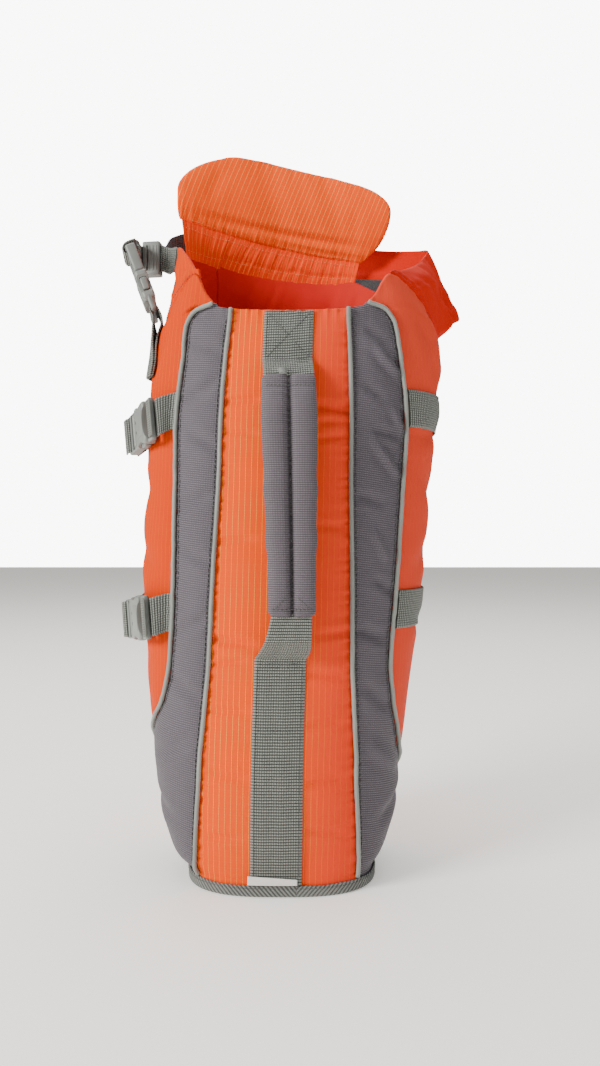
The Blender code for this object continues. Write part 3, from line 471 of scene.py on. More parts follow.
def add_tube(work: Sheetwork, rings: Array, flat: Array, cap: Cap = Cap.FLAT) -> None:
    """Adds a closed tube to a mesh.

    Args:
        work: The mesh.
        rings: The points, by ring and place round it.
        flat: The cloth's own lengths, with one more place round than the rings have.
        cap: Whether its ends are flat or joined to each other.
    """
    count, size = rings.shape[:2]
    last = count if cap is Cap.JOINED else count - 1
    i, j = (part.ravel() for part in np.meshgrid(np.arange(last), np.arange(size), indexing="ij"))
    here, ahead, beside = i * size, (i + 1) % count * size, (j + 1) % size
    faces = np.stack([here + j, here + beside, ahead + beside, ahead + j], -1)
    low, high = i * flat.shape[1] + j, (i + 1) * flat.shape[1] + j
    lengths = flat.reshape(-1, 2)[np.stack([low, low + 1, high + 1, high], -1)]
    start = work.add(rings.reshape(-1, 3), faces, lengths)
    if cap is Cap.JOINED:
        return
    for end, order in ((0, 1), (count - 1, -1)):
        ring = start + end * size + np.arange(size)
        middle = work.place(rings[end].mean(0, keepdims=True))
        fan = np.stack([np.roll(ring, -1), ring, np.full(size, middle)], -1)
        work.link(fan[:, ::order], np.broadcast_to(flat[end, 0], (size, 3, 2)))


def tube(name: str, rings: Array, flat: Array, cap: Cap = Cap.FLAT) -> bpy.types.Object:
    """A closed tube through rings of points.

    Args:
        name: The object's name.
        rings: The points, by ring and place round it.
        flat: The cloth's own lengths, with one more place round than the rings have.
        cap: Whether its ends are flat or joined to each other.

    Returns:
        The object.
    """
    work = Sheetwork(name)
    add_tube(work, rings, flat, cap)
    return work.build()


def smooth(at: Array, rows: Array, places: Array) -> Array:
    """Rows of points at new places, on smooth curves through the old rows at their own places."""
    flat = rows.reshape(len(rows), -1)
    columns = [through(np.stack([at, flat[:, k]], -1), 1, places) for k in range(flat.shape[1])]
    return np.stack(columns, -1).reshape((len(places), *rows.shape[1:]))


def straight(at: Array, rows: Array, places: Array) -> Array:
    """Rows of values at new places, on straight lines between the old rows at their own places."""
    return np.stack([np.interp(places, at, rows[:, k]) for k in range(rows.shape[1])], -1)


def resampled(points: Array, pace: float) -> Array:
    """A path of points, or of whole sections, made even and smooth.

    Args:
        points: The path, with its steps in the first axis.
        pace: The distance between the new steps.

    Returns:
        The new path, on a smooth curve through the old one.
    """
    middles = points if points.ndim == 2 else points.mean(1)
    steps = np.linalg.norm(np.diff(middles, axis=0), axis=1)
    at = np.concatenate([[0.0], np.cumsum(np.maximum(steps, TINY))])
    count = max(2, round(at[-1] / pace))
    return smooth(at, points, np.linspace(0, at[-1], count + 1))


def path_length(points: Array) -> Array:
    """The distance along a path at each of its points."""
    return np.concatenate([[0.0], np.cumsum(np.linalg.norm(np.diff(points, axis=0), axis=1))])


def spread(across: Array, along: Array) -> Array:
    """The cloth's own lengths over a grid, from those across a row and those down a column."""
    return np.stack(np.broadcast_arrays(across[None], along[:, None]), -1)


# Shading


def _operator(operation: str, reflected: bool = False) -> Callable[..., "Wire"]:
    """An arithmetic method for Wire, which adds a Math node.

    Args:
        operation: The node's operation.
        reflected: Whether the wire comes after the other value.

    Returns:
        The method.
    """

    def method(wire: "Wire", *others: "Wire | float") -> "Wire":
        """The result on the wire and any other value."""
        values = (*others, wire) if reflected else (wire, *others)
        return wire.paint.wire("ShaderNodeMath", {"operation": operation}, dict(enumerate(values)))

    return method


@dataclass(frozen=True)
class Wire:
    """A value in a material's nodes, whose arithmetic adds Math nodes."""

    paint: "Paint"
    socket: bpy.types.NodeSocket

    __add__, __radd__ = _operator("ADD"), _operator("ADD", reflected=True)
    __sub__, __rsub__ = _operator("SUBTRACT"), _operator("SUBTRACT", reflected=True)
    __mul__, __rmul__ = _operator("MULTIPLY"), _operator("MULTIPLY", reflected=True)
    __truediv__, __pow__, __abs__ = _operator("DIVIDE"), _operator("POWER"), _operator("ABSOLUTE")
    fract, sine = _operator("FRACT"), _operator("SINE")

    def wave(self, pitch: float) -> "Wire":
        """A wave from -1 to 1 at every pitch."""
        return (self * (math.tau / pitch)).sine()

    def weave(self, pitch: float) -> "Wire":
        """A wave from 0 to 1 at every pitch."""
        return 0.5 + 0.5 * self.wave(pitch)

    def bead(self, pitch: float) -> "Wire":
        """A round bump from 0 to 1 at every pitch."""
        return ((self / pitch).fract() * math.pi).sine()

    def rise(self, low: float, high: float) -> "Wire":
        """A soft rise from 0 at low to 1 at high."""
        values = {"Value": self, "From Min": low, "From Max": high}
        return self.paint.wire("ShaderNodeMapRange", {"interpolation_type": "SMOOTHSTEP"}, values)

    def ridge(self, pitch: float, share: float) -> "Wire":
        """A soft line at every pitch, whose width is a share of it."""
        off = abs((self / pitch).fract() - 0.5) * 2
        return 1 - off.rise(share * 0.45, share)


class Paint:
    """A material being made: its node tree and its Principled shader."""

    def __init__(self, name: str) -> None:
        """Makes the material."""
        self.material = bpy.data.materials.new(name)
        self.material.use_nodes = True
        self.tree = self.material.node_tree
        self.shader = self.tree.nodes["Principled BSDF"]

    def node(self, kind: str, settings: dict | None = None, values: dict | None = None) -> bpy.types.Node:
        """Adds a node.

        Args:
            kind: The node's type.
            settings: Its settings, which are set first.
            values: The values or links of its input sockets, by name or index.

        Returns:
            The node.
        """
        node = self.tree.nodes.new(kind)
        for key, value in (settings or {}).items():
            setattr(node, key, value)
        for key, value in (values or {}).items():
            self.feed(node.inputs[key], value)
        return node

    def wire(
        self, kind: str, settings: dict | None = None, values: dict | None = None, output: int | str = 0
    ) -> Wire:
        """An output of a new node, which is added as for node()."""
        return Wire(self, self.node(kind, settings, values).outputs[output])

    def feed(self, socket: bpy.types.NodeSocket, value: "Wire | float | Sequence[float]") -> None:
        """Links a wire to a socket, or sets the socket's own value."""
        if isinstance(value, Wire):
            self.tree.links.new(value.socket, socket)
        elif isinstance(value, tuple) and socket.type == "RGBA":
            socket.default_value = (*value, 1.0)
        else:
            socket.default_value = value

    def cloth(self) -> tuple[Wire, Wire]:
        """The cloth's own lengths, across and along."""
        place = self.wire("ShaderNodeUVMap", {"uv_map": CLOTH_MAP})
        parts = self.node("ShaderNodeSeparateXYZ", values={0: place})
        return Wire(self, parts.outputs[0]), Wire(self, parts.outputs[1])

    def sideways(self) -> Wire:
        """The distance to +X in the object's own space."""
        place = self.wire("ShaderNodeTexCoord", output="Object")
        return self.wire("ShaderNodeSeparateXYZ", values={0: place})

    def noise(self, scale: float, detail: float = 2.0, stretch: Sequence[float] | None = None) -> Wire:
        """Noise from 0 to 1 in the object's own space.

        Args:
            scale: How many times it varies in a metre.
            detail: How many finer layers it has.
            stretch: How many times denser it is along each axis, if not evenly.

        Returns:
            The noise.
        """
        place = self.wire("ShaderNodeTexCoord", output="Object")
        if stretch:
            place = self.wire("ShaderNodeMapping", values={"Vector": place, "Scale": stretch})
        values = {"Vector": place, "Scale": scale, "Detail": detail, "Roughness": 0.55}
        return self.wire("ShaderNodeTexNoise", values=values)

    def blend(self, first: "Wire | Colour", second: "Wire | Colour", share: Wire | float) -> Wire:
        """A colour between two."""
        settings = {"data_type": "RGBA", "clamp_factor": True}
        return self.wire("ShaderNodeMix", settings, {0: share, 6: first, 7: second}, 2)

    def facing(self, height: Wire, depth: float) -> None:
        """Gives the shader a relief of the given depth in metres."""
        bump = self.wire("ShaderNodeBump", values={"Height": height, "Distance": depth, "Strength": 1.0})
        self.feed(self.shader.inputs["Normal"], bump)

    def finish(self, colour: Wire | Colour, roughness: Wire | float, **fixed: object) -> bpy.types.Material:
        """Sets the shader's colour, roughness and fixed values, and returns the material."""
        self.feed(self.shader.inputs["Base Color"], colour)
        self.feed(self.shader.inputs["Roughness"], roughness)
        for name, value in fixed.items():
            self.feed(self.shader.inputs[name.replace("_", " ").title().replace("Ior", "IOR")], value)
        return self.material


@dataclass(frozen=True)
class Ripstop:
    """Coated nylon with a heavier thread at every few millimetres, which shows as a pale line.

    Towards +X, between two distances, its colour turns to the deep colour as painted shade. Its pale lines
    fade there too, because their brightness on the lit -X side is in part a painted sheen.
    """

    name: str = "ripstop_nylon"
    # the colour of the painted shade towards +X, mixed with random tone
    deep: Colour = (0.80, 0.046, 0.022)
    base: Colour = (0.80, 0.070, 0.0)
    pale: Colour = (0.96, 0.36, 0.030)
    pitch: float = 0.0047
    line: float = 0.15
    cross: float = 0.08
    strength: float = 0.95
    # where the painted shade starts and where it is full, both distances to +X, and how much of the lit
    # colour and of the lines' painted sheen it takes away
    fully_lit: float = -0.010
    shaded_and_rubbed: float = 0.045
    shade_strength: float = 0.72
    float_pitch: float = 0.0021
    patches: float = 16
    tones: float = 7
    grain: float = 420
    relief: float = 0.00035
    tint: Colour = (1.0, 0.25, 0.02)

    def material(self) -> bpy.types.Material:
        """Makes the material."""
        paint = Paint(self.name)
        across, along = paint.cloth()
        floats = 0.78 + 0.22 * along.wave(self.float_pitch)
        patchy = paint.noise(self.patches, 3).rise(0.30, 0.62)
        strand = across.ridge(self.pitch, self.line) * floats * (0.55 + 0.45 * patchy)
        cross = along.ridge(self.pitch, self.cross) * 0.07
        # painted light: 1 on the lit -X side and less towards +X, where the lines lose their painted sheen
        # and the colour loses its lit share
        light_and_wear = 1 - self.shade_strength * paint.sideways().rise(self.fully_lit, self.shaded_and_rubbed)
        tone = paint.noise(self.tones, 3).rise(0.25, 0.75)
        fine = paint.noise(self.grain)
        # the lit colour with random tone, turning to the deep colour as painted shade towards +X
        colour = paint.blend(self.deep, self.base, (0.84 + 0.10 * tone + 0.06 * fine) * light_and_wear)
        colour = paint.blend(colour, self.pale, (strand * self.strength + cross) * light_and_wear)
        paint.facing(0.5 * strand + 0.25 * cross + 0.35 * fine, self.relief)
        return paint.finish(
            colour, 0.56 + 0.12 * fine - 0.10 * strand, sheen_weight=0.02, sheen_roughness=0.45,
            sheen_tint=self.tint, specular_ior_level=0.05, specular_tint=self.tint,
        )


@dataclass(frozen=True)
class PlainNylon:
    """The plain lining, with a fine even weave."""

    name: str = "lining_nylon"
    deep: Colour = (0.42, 0.008, 0.009)
    base: Colour = (0.68, 0.019, 0.013)
    tones: float = 11
    grain: float = 500
    relief: float = 0.0003

    def material(self) -> bpy.types.Material:
        """Makes the material."""
        paint = Paint(self.name)
        tone = paint.noise(self.tones, 3, (1.0, 1.0, 0.4)).rise(0.25, 0.75)
        fine = paint.noise(self.grain)
        colour = paint.blend(self.deep, self.base, 0.30 + 0.60 * tone + 0.20 * fine)
        paint.facing(0.40 * fine, self.relief)
        return paint.finish(
            colour, 0.50 + 0.15 * fine, sheen_weight=0.05, sheen_roughness=0.5,
            sheen_tint=(1.0, 0.3, 0.15), specular_ior_level=0.20, specular_tint=(1.0, 0.4, 0.3),
        )


@dataclass(frozen=True)
class Packcloth:
    """Heavy grey nylon in an even plain weave, with painted shade along the trough of a seam down its middle
    if it has one.
    """

    name: str = "grey_packcloth"
    deep: Colour = (0.038, 0.032, 0.040)
    base: Colour = (0.080, 0.070, 0.085)
    pale: Colour = (0.235, 0.216, 0.245)
    rib: float = 0.00175
    slant: float = 0.12
    # half the width of the painted shade along the middle seam's trough, or none
    seam: float = 0.0
    tones: float = 9
    grain: float = 650
    relief: float = 0.0004

    def material(self) -> bpy.types.Material:
        """Makes the material."""
        paint = Paint(self.name)
        across, along = paint.cloth()
        weft = (along + across * self.slant).weave(self.rib)
        warp = (across - along * 0.25 * self.slant).weave(1.15 * self.rib)
        tone = paint.noise(self.tones, 3).rise(0.2, 0.8)
        fine = paint.noise(self.grain)
        colour = paint.blend(self.deep, self.base, 0.20 + 0.35 * tone + 0.55 * weft)
        colour = paint.blend(colour, self.pale, weft * (0.4 + 0.6 * warp) * (0.20 + 0.50 * fine))
        # painted shade in the seam's trough, darkest at its middle
        if self.seam:
            clear_of_seam_shade = abs(across).rise(0.25 * self.seam, self.seam)
            colour = paint.blend(self.deep, colour, 0.15 + 0.85 * clear_of_seam_shade)
        paint.facing(0.40 * weft + 0.35 * warp * weft + 0.3 * fine, self.relief)
        return paint.finish(
            colour, 0.60 + 0.2 * fine, sheen_weight=0.08, sheen_roughness=0.5, specular_ior_level=0.3
        )


@dataclass(frozen=True)
class Webbing:
    """Woven webbing: rows of short floats with a dark gap between them, and a corded edge.

    The rows turn down towards +X by the slant.
    """

    name: str = "grey_webbing"
    gap: Colour = (0.016, 0.022, 0.018)
    base: Colour = (0.108, 0.118, 0.104)
    pale: Colour = (0.330, 0.350, 0.312)
    row: float = 0.0023
    column: float = 0.0019
    half: float = 0.0195
    slant: float = 0.0
    tones: float = 22
    grain: float = 520
    relief: float = 0.0009

    def material(self) -> bpy.types.Material:
        """Makes the material."""
        paint = Paint(self.name)
        across, along = paint.cloth()
        along = along - (across + abs(across)) * (0.5 * self.slant)
        row = along.bead(self.row)
        bead = (across.bead(self.column) * 0.55 + 0.45) * row
        edge = abs(across).rise(self.half - 0.0015, self.half - 0.0011)
        height = bead * (1 - edge) + (0.28 + 0.50 * row) * edge
        fine = paint.noise(self.grain)
        colour = paint.blend(self.gap, self.base, height * 1.15 - 0.08 + 0.18 * paint.noise(self.tones))
        colour = paint.blend(colour, self.pale, height.rise(0.40, 1.0) * (0.45 + 0.6 * fine))
        paint.facing(height + 0.15 * fine, self.relief)
        return paint.finish(colour, 0.60 + 0.2 * fine, sheen_weight=0.15, sheen_roughness=0.4)


@dataclass(frozen=True)
class Tape:
    """Narrow ribbed tape: ribs at an angle to its length."""

    name: str = "binding_tape"
    gap: Colour = (0.045, 0.050, 0.046)
    base: Colour = (0.130, 0.140, 0.127)
    pale: Colour = (0.290, 0.300, 0.280)
    rib: float = 0.0034
    lean: float = 0.9
    thread: float = 0.0011
    tones: float = 26
    grain: float = 480
    relief: float = 0.0005

    def material(self) -> bpy.types.Material:
        """Makes the material."""
        paint = Paint(self.name)
        across, along = paint.cloth()
        rib = (along + across * self.lean).weave(self.rib)
        thread = (across - along * 0.6).weave(self.thread)
        fine = paint.noise(self.grain)
        colour = paint.blend(self.gap, self.base, 0.9 * rib + 0.4 * paint.noise(self.tones))
        colour = paint.blend(colour, self.pale, rib * rib * (0.15 + 0.35 * thread + 0.35 * fine))
        paint.facing(rib + 0.25 * thread * rib + 0.15 * fine, self.relief)
        return paint.finish(colour, 0.66 + 0.15 * fine, sheen_weight=0.2, sheen_roughness=0.5)


@dataclass(frozen=True)
class Piping:
    """Satin-faced bias tape over a cord."""

    name: str = "piping_tape"
    base: Colour = (0.145, 0.160, 0.142)
    pale: Colour = (0.290, 0.311, 0.282)
    twill: float = 0.0009
    tones: float = 14
    grain: float = 420
    relief: float = 0.0002

    def material(self) -> bpy.types.Material:
        """Makes the material."""
        paint = Paint(self.name)
        across, along = paint.cloth()
        twill = (along + across * 0.8).weave(self.twill)
        fine = paint.noise(self.grain)
        tone = paint.noise(self.tones, 3).rise(0.25, 0.75)
        colour = paint.blend(self.base, self.pale, 0.15 + 0.45 * tone + 0.2 * twill + 0.2 * fine)
        paint.facing(0.5 * twill + 0.4 * fine, self.relief)
        return paint.finish(colour, 0.42 + 0.15 * fine, sheen_weight=0.3, sheen_roughness=0.35)


@dataclass(frozen=True)
class Thread:
    """Sewing thread with a twist in it."""

    name: str
    base: Colour
    pale: Colour
    grain: float = 900
    relief: float = 0.0001

    def material(self) -> bpy.types.Material:
        """Makes the material."""
        paint = Paint(self.name)
        fine = paint.noise(self.grain)
        paint.facing(fine, self.relief)
        return paint.finish(paint.blend(self.base, self.pale, fine), 0.5 + 0.2 * fine, sheen_weight=0.2)


@dataclass(frozen=True)
class Label:
    """Smooth white woven label cloth, bare."""

    name: str = "label_satin"
    base: Colour = (0.62, 0.61, 0.58)
    pale: Colour = (0.86, 0.85, 0.82)
    thread: float = 0.0007
    tones: float = 60
    relief: float = 0.00015

    def material(self) -> bpy.types.Material:
        """Makes the material."""
        paint = Paint(self.name)
        across, along = paint.cloth()
        grain = 0.5 + 0.5 * along.wave(self.thread) * across.wave(self.thread)
        tone = paint.noise(self.tones, 3)
        colour = paint.blend(self.base, self.pale, 0.35 + 0.4 * tone + 0.25 * grain)
        paint.facing(grain, self.relief)
        return paint.finish(colour, 0.45 + 0.1 * grain, sheen_weight=0.2)


@dataclass(frozen=True)
class HookTape:
    """Dark hook tape: a close field of tiny stiff hooks."""

    name: str = "hook_tape"
    base: Colour = (0.012, 0.012, 0.014)
    pale: Colour = (0.070, 0.070, 0.078)
    column: float = 0.0017
    row: float = 0.0015
    grain: float = 700
    relief: float = 0.0006

    def material(self) -> bpy.types.Material:
        """Makes the material."""
        paint = Paint(self.name)
        across, along = paint.cloth()
        hook = (0.5 + 0.5 * (across.wave(self.column) * along.wave(self.row))) ** 2
        fine = paint.noise(self.grain)
        colour = paint.blend(self.base, self.pale, hook * (0.4 + 0.6 * fine))
        paint.facing(hook + 0.3 * fine, self.relief)
        return paint.finish(colour, 0.55 + 0.2 * fine)


@dataclass(frozen=True)
class Acetal:
    """Moulded grey plastic with a fine spark texture, worn a little paler on its edges."""

    name: str = "buckle_acetal"
    base: Colour = (0.100, 0.112, 0.106)
    pale: Colour = (0.150, 0.164, 0.156)
    shaded_and_rubbed: Colour = (0.36, 0.38, 0.355)
    tones: float = 38
    grain: float = 1400
    relief: float = 0.00012

    def material(self) -> bpy.types.Material:
        """Makes the material."""
        paint = Paint(self.name)
        spark = paint.noise(self.grain)
        flow = paint.noise(self.tones, 3, (1, 1, 2.5)).rise(0.25, 0.75)
        light_and_wear = paint.wire("ShaderNodeNewGeometry", output="Pointiness").rise(0.505, 0.56)
        colour = paint.blend(self.base, self.pale, 0.25 + 0.45 * flow + 0.15 * spark)
        colour = paint.blend(colour, self.shaded_and_rubbed, light_and_wear * 0.30)
        paint.facing(spark, self.relief)
        return paint.finish(colour, 0.36 + 0.14 * spark + 0.08 * flow)


class Wardrobe:
    """Every finish of the jacket, each made once."""

    def __init__(self) -> None:
        """Makes the materials."""
        self.ripstop = Ripstop().material()
        # painted light: the side panels' colour is darker on the lit -X side than their deep colour towards
        # +X, which softens the lamps' contrast between the flanks
        self.side_ripstop = Ripstop(
            "side_nylon", (0.74, 0.068, 0.038), (0.57, 0.038, 0.0), (0.76, 0.14, 0.0),
            line=0.13, cross=0.06,
        ).material()
        # the float's and the root's copies have a milder painted shade towards +X
        self.float_ripstop = Ripstop(
            "float_nylon", (0.80, 0.048, 0.004), (0.94, 0.084, 0.0), (1.0, 0.46, 0.10),
            pitch=0.0046, line=0.19, strength=0.8, shaded_and_rubbed=0.20, shade_strength=0.25,
        ).material()
        self.root_ripstop = Ripstop(
            "root_nylon", (0.62, 0.020, 0.014), (0.97, 0.058, 0.003), (1.0, 0.32, 0.060),
            pitch=0.0046, line=0.20, strength=0.8, shaded_and_rubbed=0.20, shade_strength=0.4,
        ).material()
        self.wing_nylon = Ripstop(
            "wing_nylon", (0.62, 0.015, 0.006), (0.56, 0.015, 0.001), (0.66, 0.040, 0.002),
            line=0.12, cross=0.05,
        ).material()
        self.lining = PlainNylon().material()
        self.packcloth = Packcloth().material()
        # the grip's cloth: its paler weave stands in part for painted highlights on its ribs, and its seam
        # puts painted shade down its stitched trough
        self.grip_cloth = Packcloth(
            "grip_packcloth", (0.032, 0.027, 0.033), (0.082, 0.068, 0.082), (0.280, 0.250, 0.278),
            rib=0.0017, slant=0.0, seam=0.0050,
        ).material()
        self.wide_webbing = Webbing("spine_webbing").material()
        self.top_webbing = Webbing(
            "spine_webbing_top", (0.013, 0.018, 0.015), (0.098, 0.108, 0.094), slant=0.10
        ).material()
        self.strap_webbing = Webbing("strap_webbing", half=0.0150, row=0.0022).material()
        self.neck_webbing = Webbing("neck_webbing", half=0.0120, row=0.0020).material()
        # painted shade: a near-black webbing for the strap's free end, which lies in shadow behind the float
        self.dark_webbing = Webbing(
            "dark_webbing", (0.012, 0.012, 0.014), (0.045, 0.042, 0.046), (0.10, 0.095, 0.10), half=0.0110
        ).material()
        self.binding = Tape().material()
        self.piping = Piping().material()
        self.dark_thread = Thread("dark_thread", (0.035, 0.036, 0.036), (0.090, 0.090, 0.088)).material()
        self.tack_thread = Thread("tack_thread", (0.120, 0.128, 0.120), (0.240, 0.250, 0.236)).material()
        self.red_thread = Thread("red_thread", (0.28, 0.008, 0.004), (0.42, 0.014, 0.006)).material()
        self.pale_thread = Thread("pale_thread", (0.85, 0.13, 0.02), (0.95, 0.30, 0.08)).material()
        self.label = Label().material()
        self.hooks = HookTape().material()
        self.plastic = Acetal().material()


def dress(
    piece: bpy.types.Object, slot: str, finishes: Sequence[bpy.types.Material], *nodes: str
) -> bpy.types.Object:
    """Gives a piece its finishes, and has it ride on the jacket in place of its nodes.

    Args:
        piece: The piece, in its place.
        slot: The name of the record's material slot, which is not used.
        finishes: The piece's materials, in the order of its faces' indices.
        nodes: The nodes that it stands for.

    Returns:
        The piece.
    """
    for finish in finishes:
        piece.data.materials.append(finish)
    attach(piece, "root")
    if nodes:
        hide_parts(*nodes)
    triangles = sum(len(face.vertices) - 2 for face in piece.data.polygons)
    LOG.info("%s: %d triangles", piece.name, triangles)
    return piece


# The trunk's panels


@dataclass
class PanelCloth:
    """A padded panel between two seams, from the hem to its own top edge.

    Its puff is how far its middle stands out, and its wall is how thick it is there. Its puckers
    stand beside its seams, its sway is the long waves of its face and its slack is those of its
    lining, each with a pitch. Its seed sets how they fall.
    """

    name: str
    node: str
    near: Line
    far: Line
    top: Line
    puff: float
    wall: float
    creases: Sequence[Crease]
    pucker: float
    pace: float
    seed: float
    low: float = 0.0018
    edge_wall: float = 0.003
    hem_fill: tuple[float, float] = (0.012, 0.060)
    top_fill: tuple[float, float] = (0.0, 0.030)
    seam_reach: float = 0.0065
    seam_pitch: float = 0.0095
    top_reach: float = 0.0070
    top_pitch: float = 0.0105
    sway: float = 0.00045
    sway_pitch: float = 0.062
    slack: float = 0.0006
    slack_pitch: float = 0.050

    def fullness(self, share: Array, height: Array) -> Array:
        """How filled the panel is, from 0 at its edges to 1 in its middle."""
        across = (4 * share * (1 - share)) ** 0.75
        return across * ease(*self.hem_fill, height) * ease(*self.top_fill, self.top(share) - height)

    def along(self, share: Array, height: Array) -> Array:
        """The distance along the cloth at a share of the way from one seam to the other."""
        return mix(self.near(height), self.far(height), share)

    def relief(self, share: Array, height: Array) -> Array:
        """The cloth's creases, and the puckers that its seams draw in."""
        along = self.along(share, height)
        width = np.abs(self.far(height) - self.near(height))
        total = creased(self.creases, along, height)
        for edge, seed in ((share, 0.4), (1 - share, 1.9)):
            off = edge * width
            pull = np.exp(-off / self.seam_reach) * (0.35 + 0.65 * ease(0.0, 0.0025, off))
            total += self.pucker * pull * wander(height, self.seam_pitch, self.seed + seed)
        pull = np.exp(-(self.top(share) - height) / self.top_reach)
        total += 0.8 * self.pucker * pull * wander(along, self.top_pitch, self.seed + 3.1)
        sway = self.sway * wander(height + 0.45 * along, self.sway_pitch, self.seed + 5.2)
        return total + sway * self.fullness(share, height)

    def point(self, share: Array, height: Array, out: Array | float = 0.0) -> Array:
        """Points of the outer face, moved out from it."""
        share, height = np.broadcast_arrays(share, height)
        lift = out + self.puff * self.fullness(share, height) + self.relief(share, height)
        return FORM.place(self.along(share, height), height, lift)

    def grids(self) -> tuple[Array, Array, Array]:
        """The outer and inner faces' points, and the cloth's own lengths at them."""
        tops = self.top(even(8))
        middle = np.array([0.30])
        columns = max(12, round(float(np.abs(self.far(middle) - self.near(middle))[0]) / self.pace))
        rows = round(float(tops.max() - self.low) / self.pace)
        share, row = np.meshgrid(even(columns), even(rows))
        height = mix(self.low, self.top(share), row)
        outer = self.point(share, height)
        full = self.fullness(share, height)
        wall = mix(self.edge_wall, self.wall, full)
        slack = self.slack * wander(height + 0.3 * share, self.slack_pitch, self.seed + 7.0) * full
        lift = self.puff * full - wall + slack
        inner = FORM.place(self.along(share, height), height, lift)
        return outer, inner, np.stack([self.along(share, height), height], -1)

    def build(self) -> bpy.types.Object:
        """Makes the panel."""
        outer, inner, flat = self.grids()
        return shell(self.name, outer, inner, flat)


def arch(edges: Sequence[Sequence[float]], near: Line, far: Line) -> Line:
    """A side panel's top edge.

    Args:
        edges: The edge, as rows of distance along the cloth and height.
        near: The panel's near seam.
        far: Its far seam.

    Returns:
        The edge's height as a function of the share across the panel.
    """

    def top(share: Array) -> Array:
        """The height, found by closing in on the edge."""
        height = np.full(np.shape(share), edges[0][1])
        for _ in range(6):
            height = through(edges, 1, np.abs(mix(near(height), far(height), share)))
        return height

    return top


# along, height, angle, length, width, depth, and the bow where there is one
DORSAL_CREASES = creases(
    (-0.036, 0.3865, 4, 0.050, 0.0068, 0.0019),
    (-0.038, 0.3614, -5, 0.044, 0.0059, 0.0014),
    (0.036, 0.3805, -7, 0.048, 0.0085, 0.0030),
    (0.040, 0.3700, 3, 0.036, 0.0060, 0.0016),
    (0.038, 0.3570, 7, 0.040, 0.0059, 0.0015),
    (0.036, 0.2860, -4, 0.040, 0.0068, 0.0014),
    (-0.040, 0.2755, 3, 0.046, 0.0068, 0.0015),
    (-0.038, 0.1960, -6, 0.050, 0.0076, 0.0022),
    (0.038, 0.2020, 5, 0.044, 0.0072, 0.0017),
    (-0.041, 0.1795, 8, 0.038, 0.0051, 0.0014),
    (0.037, 0.1700, -5, 0.044, 0.0068, 0.0015),
    (-0.039, 0.1424, 2, 0.046, 0.0068, 0.0015),
    (0.036, 0.1330, 6, 0.042, 0.0072, 0.0014),
    (-0.040, 0.0932, -4, 0.044, 0.0072, 0.0015),
    (0.038, 0.0880, 4, 0.044, 0.0068, 0.0015),
    (-0.041, 0.0447, 5, 0.040, 0.0068, 0.0014),
    (0.037, 0.0500, -6, 0.040, 0.0064, 0.0014),
)
SPINE_RIGHT_CREASES = creases(
    (0.0740, 0.4400, -28, 0.034, 0.0090, 0.0024),
    (0.0830, 0.4200, -42, 0.044, 0.0068, -0.0032),
    (0.0700, 0.3960, -30, 0.030, 0.0080, 0.0021),
    (0.0940, 0.3720, -62, 0.032, 0.0070, -0.0027),
    (0.0830, 0.3620, -10, 0.034, 0.0075, 0.0033),
    (0.0830, 0.3410, -48, 0.050, 0.0068, -0.0036),
    (0.0700, 0.3080, -20, 0.034, 0.0090, 0.0021),
    (0.0780, 0.2720, -62, 0.036, 0.0068, -0.0030),
    (0.0840, 0.2380, -35, 0.034, 0.0080, 0.0023),
    (0.0720, 0.2010, -18, 0.040, 0.0095, 0.0024),
    (0.0800, 0.1500, -40, 0.050, 0.0110, 0.0024),
    (0.0900, 0.1020, -34, 0.060, 0.0110, -0.0024),
    (0.1100, 0.0600, 22, 0.070, 0.0130, 0.0027),
)
SPINE_LEFT_CREASES = creases(
    (-0.070, 0.4340, -20, 0.044, 0.0104, 0.0015),
    (-0.072, 0.3950, 26, 0.048, 0.0104, 0.0019),
    (-0.068, 0.3560, -28, 0.044, 0.0095, 0.0017),
    (-0.074, 0.3060, 18, 0.044, 0.0104, 0.0015),
    (-0.070, 0.2620, -22, 0.046, 0.0095, 0.0015),
    (-0.072, 0.2080, 24, 0.040, 0.0095, 0.0017),
    (-0.078, 0.1580, -26, 0.050, 0.0104, 0.0015),
    (-0.094, 0.1080, 24, 0.064, 0.0123, 0.0019),
    (-0.112, 0.0600, -20, 0.070, 0.0123, 0.0019),
)
SIDE_LEFT_CREASES = creases(
    (-0.130, 0.4340, 62, 0.070, 0.0153, 0.0017),
    (-0.170, 0.4160, -50, 0.080, 0.0180, 0.0020),
    (-0.150, 0.3700, -12, 0.110, 0.0162, 0.0017),
    (-0.165, 0.3120, 20, 0.090, 0.0216, 0.0017),
    (-0.140, 0.2620, -24, 0.080, 0.0180, 0.0017),
    (-0.160, 0.2050, 8, 0.110, 0.0153, 0.0017),
    (-0.175, 0.1550, -30, 0.070, 0.0180, 0.0017),
    (-0.195, 0.0900, 26, 0.060, 0.0162, 0.0014),
)
SIDE_RIGHT_CREASES = creases(
    (0.130, 0.4380, -58, 0.070, 0.0153, 0.0018),
    (0.172, 0.4150, 48, 0.080, 0.0180, 0.0020),
    (0.150, 0.3680, 10, 0.110, 0.0162, 0.0017),
    (0.160, 0.3150, -22, 0.090, 0.0207, 0.0018),
    (0.145, 0.2650, 26, 0.080, 0.0180, 0.0017),
    (0.162, 0.2040, -9, 0.110, 0.0153, 0.0017),
    (0.175, 0.1500, 30, 0.070, 0.0180, 0.0017),
    (0.190, 0.0900, -24, 0.060, 0.0162, 0.0014),
)
